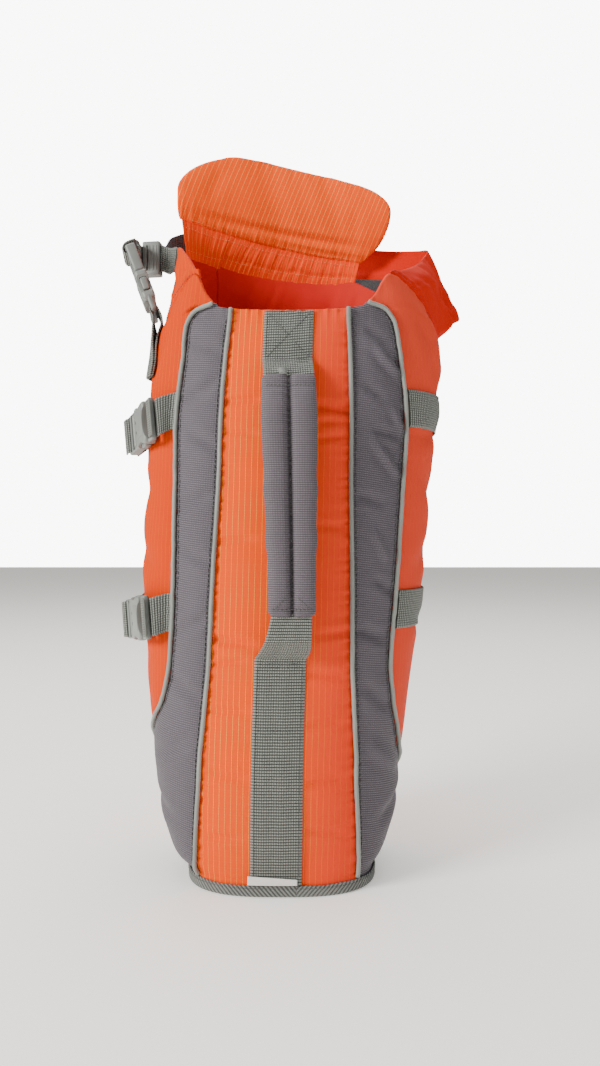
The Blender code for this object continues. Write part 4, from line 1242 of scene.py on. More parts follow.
# distance from the flap's neck edge, distance down it
WING_CREASES = creases(
    (0.030, 0.0300, 58, 0.050, 0.0110, 0.0020),
    (0.052, 0.0200, 74, 0.044, 0.0100, 0.0022),
    (0.060, 0.0480, 40, 0.046, 0.0120, 0.0022),
    (0.105, 0.0250, 100, 0.060, 0.0150, 0.0030),
    (0.120, 0.0500, 64, 0.060, 0.0140, 0.0026),
    (0.150, 0.0300, 115, 0.060, 0.0150, 0.0026),
    (0.085, 0.0900, 20, 0.070, 0.0120, 0.0022),
    (0.120, 0.0980, -25, 0.060, 0.0120, 0.0020),
)
LEFT_WING_CREASES = creases(
    (-0.1020, 0.5080, 52, 0.036, 0.0100, 0.0016),
    (-0.1300, 0.5060, 118, 0.050, 0.0110, 0.0018),
    (-0.1600, 0.5000, 80, 0.050, 0.0120, 0.0014),
)
BELLY_CREASES = creases(
    (0.300, 0.5080, 86, 0.060, 0.0140, 0.0016),
    (0.345, 0.5120, 94, 0.060, 0.0120, 0.0012),
    (0.265, 0.5000, 76, 0.060, 0.0130, 0.0012),
    (0.330, 0.4350, 12, 0.100, 0.0180, 0.0014),
    (0.310, 0.3700, -6, 0.120, 0.0170, 0.0012),
    (0.340, 0.3000, 18, 0.090, 0.0200, 0.0013),
    (0.305, 0.2450, -16, 0.090, 0.0180, 0.0012),
    (0.325, 0.2040, 5, 0.120, 0.0160, 0.0012),
    (0.300, 0.1400, -20, 0.080, 0.0180, 0.0012),
    (0.300, 0.0800, 16, 0.080, 0.0170, 0.0010),
)

# heights of the neck's edge at the spine, at the piping and at the chest's two ends
SPINE_NECK, PIPING_NECK = 0.4615, 0.4640
CHEST_LEFT, CHEST_RIGHT = 0.5470, 0.5290
# how far the chest's right corner is cut down, within one of so many equal parts across it
CHEST_COLUMNS, CHEST_DIP = 9, 0.0110


def chest_top(share: Array) -> Array:
    """The chest's top edge as a function of the share across it, with its right corner cut down."""
    corner = np.maximum(0.0, 1 - CHEST_COLUMNS * np.maximum(share, 0.0))
    return mix(CHEST_RIGHT, CHEST_LEFT, share) - CHEST_DIP * corner


class Trunk:
    """The six padded panels of the trunk."""

    def __init__(self, wardrobe: Wardrobe) -> None:
        """Works out the panels."""
        self.wardrobe = wardrobe
        inner, left, right, belly = (line.along for line in SeamLine)
        self.dorsal = PanelCloth(
            "dorsal_cloth", "dorsal_panel", inner(-1), inner(1),
            lambda share: mix(SPINE_NECK, PIPING_NECK, np.abs(2 * share - 1) ** 2),
            0.0045, 0.008, DORSAL_CREASES, 0.0013, 0.0014, 0.3,
        )
        self.spine_right = PanelCloth(
            "spine_cloth_right", "spine_panel_right", inner(1), right(1),
            lambda share: mix(PIPING_NECK, RIGHT_ARCH[0][1], share),
            0.0022, 0.005, SPINE_RIGHT_CREASES, 0.0006, 0.0017, 1.1,
        )
        self.spine_left = PanelCloth(
            "spine_cloth_left", "spine_panel_left", left(-1), inner(-1),
            lambda share: mix(LEFT_ARCH[0][1], PIPING_NECK, share),
            0.0022, 0.005, SPINE_LEFT_CREASES, 0.0006, 0.0017, 2.3,
        )
        self.side_right = PanelCloth(
            "side_cloth_right", "side_panel_right", right(1), belly(1),
            arch(RIGHT_ARCH, right(1), belly(1)),
            0.0042, 0.010, SIDE_RIGHT_CREASES, 0.0006, 0.0020, 3.7,
        )
        self.side_left = PanelCloth(
            "side_cloth_left", "side_panel_left", belly(-1), left(-1),
            arch(LEFT_ARCH, belly(-1), left(-1)),
            0.0042, 0.010, SIDE_LEFT_CREASES, 0.0006, 0.0020, 4.9,
        )
        self.belly = PanelCloth(
            "belly_cloth", "belly_panel", belly(1),
            lambda height: FORM.girth(height) - belly(1)(height), chest_top,
            0.0018, 0.006, BELLY_CREASES, 0.0006, 0.0020, 6.1,
        )

    def build(self) -> None:
        """Makes the panels."""
        cloth = self.wardrobe
        for panel, slot, outer in (
            (self.dorsal, "orange_cloth", cloth.ripstop),
            (self.spine_right, "grey_cloth", cloth.packcloth),
            (self.spine_left, "grey_cloth", cloth.packcloth),
            (self.side_right, "orange_cloth", cloth.side_ripstop),
            (self.side_left, "orange_cloth", cloth.side_ripstop),
            (self.belly, "orange_cloth", cloth.side_ripstop),
        ):
            piece = dress(panel.build(), slot, [outer, cloth.lining], panel.node)


# Tape, cord and thread

# along a stitch: the share of its length, then how high it lies and how big it is, in radii
STITCH = np.array([
    (-0.04, -0.9, 0.7),
    (0.12, 0.35, 1.0),
    (0.5, 0.75, 1.1),
    (0.88, 0.35, 1.0),
    (1.04, -0.9, 0.7),
])
STITCH_SIDES = 5
HEM_WAVE = Wave(0.0004, 0.055, 2.0)


@dataclass(frozen=True)
class Stitching:
    """A row of stitches: how long each is, how far apart they start and how thick the thread is."""

    length: float = 0.0022
    pitch: float = 0.0032
    radius: float = 0.00024

    def sew(self, work: Sheetwork, path: Array, outs: Array) -> None:
        """Adds stitches along a path.

        Args:
            work: The mesh of stitches.
            path: Points of the row, on the cloth.
            outs: The cloth's outward direction, at each or everywhere.
        """
        at = path_length(path)
        outs = np.broadcast_to(outs, path.shape)
        turn = math.tau * np.arange(STITCH_SIDES) / STITCH_SIDES
        for start in np.arange(self.pitch / 2, at[-1] - self.length, self.pitch):
            places = start + self.length * STITCH[:, 0]
            points = straight(at, path, places)
            out = unit(straight(at, outs, places))
            run = unit(points[-1] - points[0])
            side = unit(np.cross(np.broadcast_to(run, out.shape), out))
            lift, size = self.radius * STITCH[:, 1, None], self.radius * STITCH[:, 2, None]
            rings = points[:, None] + (lift + size * np.sin(turn))[..., None] * out[:, None]
            rings = rings + (size * np.cos(turn))[..., None] * side[:, None]
            flat = np.zeros((len(places), STITCH_SIDES + 1, 2))
            flat[..., 1] = places[:, None]
            add_tube(work, rings, flat)


SEAM_STITCH = Stitching()
PIPING_STITCH = Stitching(0.0030, 0.0042, 0.00036)
GRIP_STITCH = Stitching(0.0024, 0.0036, 0.00028)
GRIP_END_STITCH = Stitching(0.0024, 0.0031, 0.00036)
GRIP_FOOT_STITCH = Stitching(0.0022, 0.0030, 0.00026)
LEVEL_STITCH = Stitching(0.0018, 0.0024, 0.00026)
CROSS_STITCH = Stitching(0.0026, 0.0034, 0.00026)
EDGE_STITCH = Stitching(0.0020, 0.0028, 0.00022)
TACK_STITCH = Stitching(0.0062, 0.0050, 0.00060)
THREAD_OFF = 0.0002


def sewn(name: str, slot: str, thread: bpy.types.Material, *rows: tuple[Array, Array]) -> None:
    """Makes a piece of plain stitches along rows on cloth.

    Args:
        name: The piece's name.
        slot: The name of the record's material slot.
        thread: The thread's material.
        rows: Each row's points, and the cloth's outward direction at them.
    """
    work = Sheetwork(name)
    for path, outs in rows:
        SEAM_STITCH.sew(work, path, outs)
    dress(work.build(), slot, [thread])


def round_cord(
    path: Array, outs: Array, across: Array | float, up: Array | float, sides: int
) -> tuple[Array, Array]:
    """The rings of an oval cord along a path, and the cloth's own lengths on it.

    Args:
        path: Points of its middle line.
        outs: The direction that its face looks in, at each.
        across: Half its width.
        up: Half its height.
        sides: The number of points round it.

    Returns:
        The rings, and the lengths with one more place round.
    """
    run = unit(np.gradient(path, axis=0))
    side = unit(np.cross(run, outs))
    out = np.cross(side, run)
    turn = math.tau * np.arange(sides) / sides
    wide, high = (np.broadcast_to(np.asarray(size, float), len(path))[:, None] for size in (across, up))
    rings = path[:, None] + (wide * np.cos(turn))[..., None] * side[:, None]
    rings = rings + (high * np.sin(turn))[..., None] * out[:, None]
    round_it = math.tau * float(np.mean(wide)) * even(sides)
    return rings, spread(round_it, path_length(path))


@dataclass
class Edging:
    """The piping beside the spine, and the tape round the tail hem, with their stitches."""

    wardrobe: Wardrobe
    trunk: Trunk
    radius: float = 0.0017
    piping_steps: int = 420
    piping_sides: int = 14
    piping_inset: float = 0.0042
    hem_height: float = 0.0090
    hem_tape: float = 0.0015
    hem_width: float = 0.028
    hem_steps: int = 840
    seam_wall: float = 0.003
    tape_join: float = 0.0155
    tape_steps: int = 44

    def pipings(self) -> None:
        """A tape-covered cord on each of the four long seams, and the stitches beside it."""
        right, left = self.trunk.spine_right, self.trunk.spine_left
        rows = Sheetwork("piping_stitches")
        for name, panel, share in (
            ("inner_piping_right", right, 0.0),
            ("outer_piping_right", right, 1.0),
            ("inner_piping_left", left, 1.0),
            ("outer_piping_left", left, 0.0),
        ):
            shares = np.full(self.piping_steps, share)
            rise = np.linspace(0.02, 1.0, self.piping_steps)
            height = mix(self.hem_tape + GAP, panel.top(shares), rise)
            lift = GAP + 1.25 * self.radius + 0.00025 * wander(height, 0.034, share + 3)
            path = resampled(FORM.place(panel.along(shares, height), height, lift), 0.0015)
            swell = self.radius * (1 + 0.05 * wander(path_length(path), 0.021, share))
            rings, flat = round_cord(path, self._outs_of(path), 1.05 * swell, swell, self.piping_sides)
            piece = tube(f"{name}_cord", rings, flat)
            dress(piece, "piping_tape", [self.wardrobe.piping], name)
            inset = self.piping_inset / np.abs(panel.far(height) - panel.near(height))
            beside = np.clip(np.abs(shares - inset), 0, 1)
            row = resampled(panel.point(beside, height, 0.0003)[8:-6], 0.001)
            PIPING_STITCH.sew(rows, row, self._outs_of(row))
        dress(rows.build(), "piping_tape", [self.wardrobe.dark_thread])

    def _outs_of(self, path: Array) -> Array:
        """The outward direction of the trunk's cloth at points on it."""
        middle = np.stack([np.full(len(path), 0.0), np.full(len(path), 0.080), path[:, 2]], -1)
        run = unit(np.gradient(path, axis=0))
        out = unit(path - middle)
        return unit(out - (out * run).sum(-1, keepdims=True) * run)

    def _hem_profile(self) -> tuple[Array, Array]:
        """The tape's outline round the hem's edge, as how far out and how high, and its length there."""
        high, tape, round_ = self.hem_height, self.hem_tape, 0.0004
        outer, inner = GAP + tape, -self.seam_wall - GAP - tape
        near, far = GAP, -self.seam_wall - GAP
        corners = np.array([
            (near, high - round_), (outer - round_, high), (outer, high - 0.0006), (outer, 0.0010),
            (outer - 0.0008, 0.0), (inner + 0.0008, 0.0), (inner, 0.0010), (inner, high - 0.0006),
            (inner + round_, high), (far, high - round_), (far, tape + round_), (far + round_, tape),
            (near - round_, tape), (near, tape + round_), (near, high - round_),
        ])
        steps = path_length(corners)
        at = np.linspace(0, steps[-1], self.tape_steps + 1)
        return straight(steps, corners, at), at

    def hem(self) -> None:
        """The ribbed tape folded round the hem, which the jacket stands on."""
        profile, at = self._hem_profile()
        out, high = profile[:, 0], profile[:, 1]
        low, end = FORM.girths[4]
        along, across = np.meshgrid(np.linspace(low, end, self.hem_steps + 1), at, indexing="ij")
        across = across * np.where(along < self.tape_join, -1, 1)
        rib = np.sin(math.tau * (along + across * Tape.lean) / Tape.rib)
        wave = HEM_WAVE.at(along) * ease(0.002, 0.009, high)
        outside = np.arange(len(at)) < self.tape_steps * 0.30
        inside = out < -self.seam_wall - GAP - self.hem_tape + 0.0003
        facing = np.where(outside, 1.0, np.where(inside, -1.0, 0.0))
        height = np.maximum(high + wave * (high > self.hem_height - 0.002), 0.0)
        points = FORM.place(along, height, out + facing * 0.00022 * rib)
        piece = tube("tail_tape", points[:-1, :-1], np.stack([across, along], -1), Cap.JOINED)
        for vertex in piece.data.vertices:
            vertex.co.z = max(vertex.co.z, 0.0)
        dress(piece, "binding_tape", [self.wardrobe.binding], "tail_binding")
        spot = np.linspace(low + 0.004, end - 0.004, 700)
        row = FORM.place(spot, self.hem_height - 0.0020, GAP + self.hem_tape + THREAD_OFF)
        outs = unit(FORM.place(spot, 0.01, 0.01) - FORM.place(spot, 0.01, 0.0))
        sewn("hem_stitches", "binding_tape", self.wardrobe.dark_thread, (row, outs))

    def build(self) -> None:
        """Makes the piping and the hem."""
        self.pipings()
        self.hem()


# The handle down the back

# height, how far off the panel, half width, shift to +X
GRIP_LIFT = (
    (0.2180, 0.0175, 0.0172, 0.0085),
    (0.2240, 0.0180, 0.0178, 0.0083),
    (0.2600, 0.0185, 0.0188, 0.0072),
    (0.3200, 0.0180, 0.0205, 0.0050),
    (0.3700, 0.0155, 0.0215, 0.0032),
    (0.3980, 0.0115, 0.0220, 0.0020),
    (0.4050, 0.0100, 0.0218, 0.0018),
)
TOP_LIFT = (
    (0.4060, 0.0100, 0.0195, 0.0018),
    (0.4140, 0.0050, 0.0195, 0.0008),
    (0.4200, 0.0, 0.0195, 0.0),
    (0.4600, 0.0, 0.0195, 0.0),
)
BOTTOM_LIFT = (
    (0.0100, 0.0, 0.0195, 0.0),
    (0.1830, 0.0, 0.0195, 0.0),
    (0.1890, 0.0060, 0.0192, 0.0030),
    (0.2000, 0.0150, 0.0170, 0.0060),
    (0.2170, 0.0175, 0.0150, 0.0080),
)
# the grip's waves: of the trough down its middle, the cloth beside it, its edges and its width
TROUGH_WAVE, GATHER_WAVE = Wave(0.30, 0.0065, 1.2), Wave(0.00050, 0.0070, 2.4)
EDGE_WAVE, WIDTH_WAVE = Wave(0.00014, 0.0090, 3.1), Wave(0.032, 0.052, 0.8)
# the webbing's heights above and below the grip, and its width
TOP_RUN, FOOT_RUN, WIDE_WEBBING = (0.4034, 0.4605), (0.0096, 0.2196), 0.039
# heights of the stitches across the webbing, and from where to where others run up it
LEVEL_ROWS = (
    (TOP_LIFT, (0.4195, 0.4165)),
    (BOTTOM_LIFT, (0.1800, 0.1770, 0.1290, 0.0150)),
)
EDGE_ROWS = ((BOTTOM_LIFT, 0.0150, 0.1800), (TOP_LIFT, 0.4195, 0.4590))
CROSS_ROW = (0.4205, 0.4590)
GRIP_SEAM, GRIP_END_SEAMS, GRIP_FOOT_SEAM = (0.2225, 0.4010), (0.3955, 0.2235), (0.2235, 0.2330)
LABEL_LEFT, LABEL_RIGHT, LABEL_FOOT = -0.0215, 0.0163, 0.0099


def strip(name: str, faces: Array, wall: float, pace: float) -> bpy.types.Object:
    """A flat band of webbing with rounded edges.

    Args:
        name: The object's name.
        faces: Its two faces' points, by step, place across and face, the inner face first.
        wall: How thick it is.
        pace: The distance between its steps.

    Returns:
        The object.
    """
    steps, across = faces.shape[:2]
    even_steps = resampled(faces.reshape(steps, across * 2, 3), pace)
    faces = even_steps.reshape(len(even_steps), across, 2, 3)
    inner, outer = faces[:, :, 0], faces[:, :, 1]
    middle = (inner + outer) / 2
    over = unit(middle[:, -1] - middle[:, 0])
    low, high = middle[:, 0] - 0.35 * wall * over, middle[:, -1] + 0.35 * wall * over
    rings = np.concatenate([outer, high[:, None], inner[:, ::-1], low[:, None]], 1)
    halfway = middle[len(middle) // 2]
    places = (even(across - 1) - 0.5) * float(np.linalg.norm(halfway[-1] - halfway[0]))
    sides = np.concatenate([places, [places[-1]], places[::-1], [places[0]], [places[0]]])
    return tube(name, rings, spread(sides, path_length(middle.mean(1))))


@dataclass
class Handle:
    """The webbing down the back, the padded grip on it and the label at its foot."""

    wardrobe: Wardrobe
    trunk: Trunk
    wall: float = 0.0016
    pace: float = 0.0018
    grip_top: float = 0.4050
    grip_foot: float = 0.2180
    grip_pace: float = 0.0014
    grip_sides: int = 112
    thickness: float = 0.011
    trough: float = 0.0018
    knob: float = 0.0030
    knob_height: float = 0.4076
    front: tuple[float, float, float] = (0.0, -1.0, 0.0)

    def lying(
        self, rows: Sequence[Sequence[float]], height: Array | float, across: Array | float,
        out: Array | float,
    ) -> Array:
        """Points of the webbing, off the dorsal panel.

        Args:
            rows: How far the webbing is lifted, by height.
            height: Heights of the points.
            across: Places across it, from -1 to 1.
            out: How far outside the webbing's inner face.

        Returns:
            The points.
        """
        height, across = np.broadcast_arrays(height, across)
        off, half, shift = (through(rows, column, height) for column in (1, 2, 3))
        dorsal = self.trunk.dorsal
        width = np.abs(dorsal.far(height) - dorsal.near(height))
        place = dorsal.point(0.5 + across * half / width, height, GAP + off + out)
        middle = dorsal.point(np.full(height.shape, 0.5), height, GAP + off + out)
        place[..., 0] = middle[..., 0] + across * half + shift
        place[..., 1] = mix(place[..., 1], middle[..., 1], np.minimum(1.0, off / 0.004))
        return place

    def knob_rise(self, height: Array, across: Array) -> Array:
        """How far the webbing stands up where its folded end is tacked, just above the grip."""
        up, over = (height - self.knob_height) / 0.0030, (across + 0.26) / 0.26
        return self.knob * np.exp(-(up ** 2) - over ** 4)

    def runs(self) -> None:
        """The two runs of webbing, above and below the grip."""
        wardrobe = self.wardrobe
        for name, node, finish, rows, (low, high) in (
            ("webbing_top", "spine_webbing_upper", wardrobe.top_webbing, TOP_LIFT, TOP_RUN),
            ("webbing_foot", "spine_webbing_lower", wardrobe.wide_webbing, BOTTOM_LIFT, FOOT_RUN),
        ):
            height = np.linspace(low, high, round((high - low) / self.pace))[:, None]
            across = 2 * even(16)[None] - 1
            thick = self.wall * (1 - 0.18 * (np.abs(across) > 0.93))
            inner = self.lying(rows, height, across, 0.0001 + (self.wall - thick) / 2)
            outer = self.lying(rows, height, across, 0.0001 + (self.wall + thick) / 2)
            outer[..., 1] -= 0.0002 * np.sin(8 * across) * ease(low, low + 0.02, height)
            outer[..., 1] -= self.knob_rise(height, across)
            piece = strip(name, np.stack([inner, outer], 2), self.wall, self.pace)
            dress(piece, "webbing", [finish], node)

    def grip_middle(self, height: Array) -> Array:
        """The middle line of the grip."""
        off = through(GRIP_LIFT, 1, height)
        middle = self.trunk.dorsal.point(np.full(height.shape, 0.5), height, GAP + off + self.wall / 2)
        middle[..., 0] += through(GRIP_LIFT, 3, height)
        return middle

    def grip_face(self, height: Array | float, turn: Array | float) -> Array:
        """Points of the grip's surface.

        Args:
            height: Heights.
            turn: Angles round it: 0 at +X, and a quarter turn at the front.

        Returns:
            The points.
        """
        height, turn = np.broadcast_arrays(height, turn)
        end = np.minimum(height - self.grip_foot, self.grip_top - height)
        sewn_in = sum(np.exp(-(((height - seam) / 0.0022) ** 2)) for seam in GRIP_END_SEAMS)
        plump = 0.5 * self.thickness * mix(0.62, 1.0, ease(0, 0.022, end)) * (1 - 0.20 * sewn_in)
        x = np.sign(np.cos(turn)) * np.abs(np.cos(turn)) ** 0.62
        side, off = np.sign(x), np.abs(x)
        front = np.sin(turn) > 0
        roll = np.abs(off - 0.50) / 0.50
        valley = 0.30 + 0.70 * np.maximum(1 - roll ** 2, 0.0) ** 0.5
        roll = np.where(off > 0.5, (1 - roll ** 2.2) ** 0.5, valley)
        body = np.where(front, 1.12 * roll, 0.85 * (1 - off ** 3.2) ** 0.5)
        puckers = 1 + TROUGH_WAVE.at(height)
        trough = np.where(front, self.trough * np.exp(-((off / 0.12) ** 1.7)) * puckers, 0.0)
        gathers = GATHER_WAVE.at(height + 0.001 * side) * np.exp(-((off / 0.50) ** 2))
        edge = EDGE_WAVE.at(height + 0.002 * side) * ease(0.7, 1.0, off)
        out = body * plump - trough - gathers * front
        corner = 1 - 0.10 * (1 - ease(0.0, 0.0050, end)) ** 2
        half = through(GRIP_LIFT, 2, height)
        place = self.grip_middle(height)
        place[..., 0] += x * (half * corner * (1 + WIDTH_WAVE.at(height)) + edge)
        place[..., 1] += np.where(front, -out, out)
        return place

    def grip(self) -> None:
        """The padded sleeve, drawn in by the seam down its middle."""
        rows = round((self.grip_top - self.grip_foot) / self.grip_pace)
        height = np.linspace(self.grip_foot, self.grip_top, rows + 1)
        rings = self.grip_face(height[:, None], math.tau * even(self.grip_sides)[None])
        for end, inward in ((0, 1), (rows, -1)):
            centre = rings[end, :-1].mean(0)
            rings[end] = centre + 0.90 * (rings[end] - centre)
            rings[end, :, 2] += inward * 0.0016 * 0.2
        # across is 0 at the front's middle, so the cloth's painted shade lies along the stitched trough
        lengths = path_length(rings[rows // 2])
        lengths -= lengths[(self.grip_sides + 1) // 4]
        piece = tube("grip_sleeve", rings[:, :-1], spread(lengths, height))
        dress(piece, "grey_cloth", [self.wardrobe.grip_cloth], "handle_grip")

    def _sew_grip(
        self, work: Sheetwork, stitch: Stitching, height: Array | float, turn: Array | float
    ) -> None:
        """Sews a row on the grip, through places as for grip_face()."""
        stitch.sew(work, self.grip_face(height, turn) + THREAD_OFF * np.array(self.front), self.front)

    def _sew_webbing(
        self, work: Sheetwork, stitch: Stitching, rows: Sequence[Sequence[float]],
        height: Array | float, across: Array | float, out: Array | float = 0.0,
    ) -> None:
        """Sews a row on the webbing, through places as for lying(), moved out from its face."""
        stitch.sew(work, self.lying(rows, height, across, self.wall + 0.0003 + out), self.front)

    def stitches(self) -> None:
        """The seams of the grip and of the webbing."""
        grip, webbing, tack = (
            Sheetwork(name) for name in ("grip_stitches", "webbing_stitches", "webbing_tack")
        )
        quarter = math.pi / 2
        self._sew_grip(grip, GRIP_STITCH, np.linspace(*GRIP_SEAM, 300), quarter)
        for level in GRIP_END_SEAMS:
            turn = np.linspace(0.12 * math.pi, 0.88 * math.pi, 160)
            self._sew_grip(webbing, GRIP_END_STITCH, level, turn)
        for side in (-1, 1):
            turn = quarter - side * np.linspace(0.62, 0.06, 40)
            self._sew_grip(webbing, GRIP_FOOT_STITCH, np.linspace(*GRIP_FOOT_SEAM, 40), turn)
        for rows, levels in LEVEL_ROWS:
            for level in levels:
                self._sew_webbing(webbing, LEVEL_STITCH, rows, level, np.linspace(-0.93, 0.93, 90))
        for side in (-1, 1):
            across = side * np.linspace(-0.88, 0.88, 120)
            self._sew_webbing(webbing, CROSS_STITCH, TOP_LIFT, np.linspace(*CROSS_ROW, 120), across)
        for side in (-1, 1):
            for rows, low, high in EDGE_ROWS:
                self._sew_webbing(webbing, EDGE_STITCH, rows, np.linspace(low, high, 300), side * 0.90)
        across = np.linspace(-0.50, -0.02, 40)
        for level in np.linspace(-0.0024, 0.0022, 6) + self.knob_height:
            self._sew_webbing(tack, TACK_STITCH, TOP_LIFT, level, across, self.knob_rise(level, across))
        dress(grip.build(), "grey_cloth", [self.wardrobe.dark_thread])
        dress(webbing.build(), "webbing", [self.wardrobe.dark_thread])
        dress(tack.build(), "webbing", [self.wardrobe.tack_thread])

    def label(self) -> None:
        """The small bare label sewn into the hem tape."""
        dorsal = self.trunk.dorsal
        across, row = np.meshgrid(np.linspace(LABEL_LEFT, LABEL_RIGHT, 40), even(12))
        high = mix(0.0170, 0.0146, (across - LABEL_LEFT) / (LABEL_RIGHT - LABEL_LEFT))
        height = mix(LABEL_FOOT, high, row)
        share = 0.5 + across / np.abs(dorsal.far(height) - dorsal.near(height))
        curl = 0.0007 * row ** 2 * (0.6 + 0.4 * np.sin(across * 150)) + 0.0002
        away = 3 * GAP + self.wall + curl
        outer, inner = dorsal.point(share, height, away + 0.0006), dorsal.point(share, height, away)
        piece = shell("label_cloth", outer, inner, np.stack([across, height], -1), 0.0001)
        dress(piece, "label_cloth", [self.wardrobe.label] * 2, "hem_label")

    def build(self) -> None:
        """Makes the handle."""
        self.runs()
        self.grip()
        self.stitches()
        self.label()


# The neck

# the ends of the right flap's free fold, and the shares across the flank at which its ribs start
WING_FOLD_TOP = np.array([0.1375, 0.160, 0.5560])
WING_FOLD_FOOT = np.array([0.1665, 0.150, 0.4860])
WING_SHARES = (0.150, 0.180, 0.260, 0.306, 0.360, 0.470, 0.560, 0.680, 0.800, 0.900, 0.970)
# the share at which the free fold ends, and how open the fold stays below it
FLAP_FOOT, CLOSED_SHARE = 0.560, 0.05
# heights on the chest's side: the fold's top and foot, and the wing's foot
WING_CHEST_TOP, FLAP_CHEST_FOOT, WING_CHEST_FOOT = 0.5750, 0.4800, 0.4560
# how far the wing laps over the chest, how far outside it, and how far its top leans to +Y
WING_LAP, WING_LAP_OUT, WING_LEAN = 0.022, 0.005, 0.022
# how far the neck edge sags at each point across the top rib
NECK_SLACK = (0.0, 0.0068, 0.0082, 0.0042, 0.0, 0.0, 0.0, 0.0, 0.0)
# the hook patch's place, by points across the ribs and by ribs
PATCH_COLUMNS, PATCH_ROWS = (6.6, 7.9), (3.4, 4.9)
# the fold's place across a rib, and the grooves beside it: how far from it, and how deep
FOLD_PLACE = 0.5
WING_TUCKS = ((-0.0110, 0.0013), (-0.0185, 0.0010))
# the waves of the wings' cloth and of the puckers beside their seams
LEFT_WING_WAVE, RIGHT_WING_WAVE = Wave(0.0008, 0.034, 1.0), Wave(0.0011, 0.038, 0.6)
SEAM_WAVE = Wave(0.0006, 0.0088, 2.2)
# the float's waves: of its gathered foot, its ends, its top edge and its face
FLOAT_GATHERS = (Wave(0.0006, 0.0085, 0.9), Wave(0.0003, 0.0048, 2.0))
FLOAT_END_WAVE, FLOAT_TOP_WAVE = Wave(0.0005, 0.011, 1.0), Wave(0.0005, 0.013, 1.8)
FLOAT_WAVE = Wave(0.0009, 0.075, 2.6)
# the root strip's waves: its gathers, the height and depth of its slump, and its rise
ROOT_GATHERS = (Wave(0.00042, 0.0125, 0.5), Wave(0.0002, 0.0058, 1.7))
ROOT_LEVEL_WAVE, ROOT_SLUMP_WAVE = Wave(0.05, 0.06, 1.3), Wave(0.4, 0.050, 2.1)
ROOT_RISE_WAVE = Wave(0.0003, 0.016, 2.5)
# the flat cuts of the two wings and the root strip, and the least share of the strip that shows
WING_LEFT_SIZE, WING_RIGHT_SIZE, ROOT_SIZE = (0.155, 0.085), (0.215, 0.105), (0.36, 0.034)
# the grid rows that are sewn, the float's sewn line, and the side that the float shows
SEWN_ROW, ROOT_SEAMS = 5, (9, 25)
FLOAT_SEAM, FLOAT_SEAM_RISE, FLOAT_FRONT = (-0.078, 0.082), 0.0190, (0.0, -1.0, 0.1)

# rise above the root, left end, right end, thickness
FLOAT_ROWS = (
    (0.0180, -0.0880, 0.0915, 0.004),
    (0.0235, -0.0900, 0.0965, 0.012),
    (0.0345, -0.0920, 0.1045, 0.018),
    (0.0470, -0.0925, 0.1090, 0.020),
    (0.0600, -0.0855, 0.1105, 0.020),
    (0.0710, -0.0740, 0.1080, 0.017),
    (0.0800, -0.0595, 0.0975, 0.013),
    (0.0865, -0.0450, 0.0790, 0.008),
    (0.0900, -0.0180, 0.0480, 0.004),
)
FLOAT_CREASES = creases(
    (0.004, 0.0300, 2.0, 0.230, 0.0080, 0.0026, 0.02),
    (0.030, 0.0225, -1.0, 0.150, 0.0050, 0.0012),
    (-0.060, 0.0560, 70.0, 0.040, 0.0120, 0.0007),
    (0.078, 0.0500, 100.0, 0.044, 0.0120, 0.0008),
)


def refined(grid: Array, rows: int, columns: int) -> Array:
    """A coarse grid of points made fine, on smooth curves through its rows and columns."""
    for count in (rows, columns):
        at = np.arange(len(grid), dtype=float)
        grid = smooth(at, grid, np.linspace(0, at[-1], count)).swapaxes(0, 1)
    return grid


def grid_outs(grid: Array) -> Array:
    """The direction square to a grid of points, rows turning to columns."""
    return unit(np.cross(np.gradient(grid, axis=0), np.gradient(grid, axis=1)))


def grid_lengths(grid: Array) -> Array:
    """The cloth's own lengths over a grid, from its middle row and column."""
    rows, columns = grid.shape[:2]
    return spread(path_length(grid[rows // 2]), path_length(grid[:, columns // 2]))


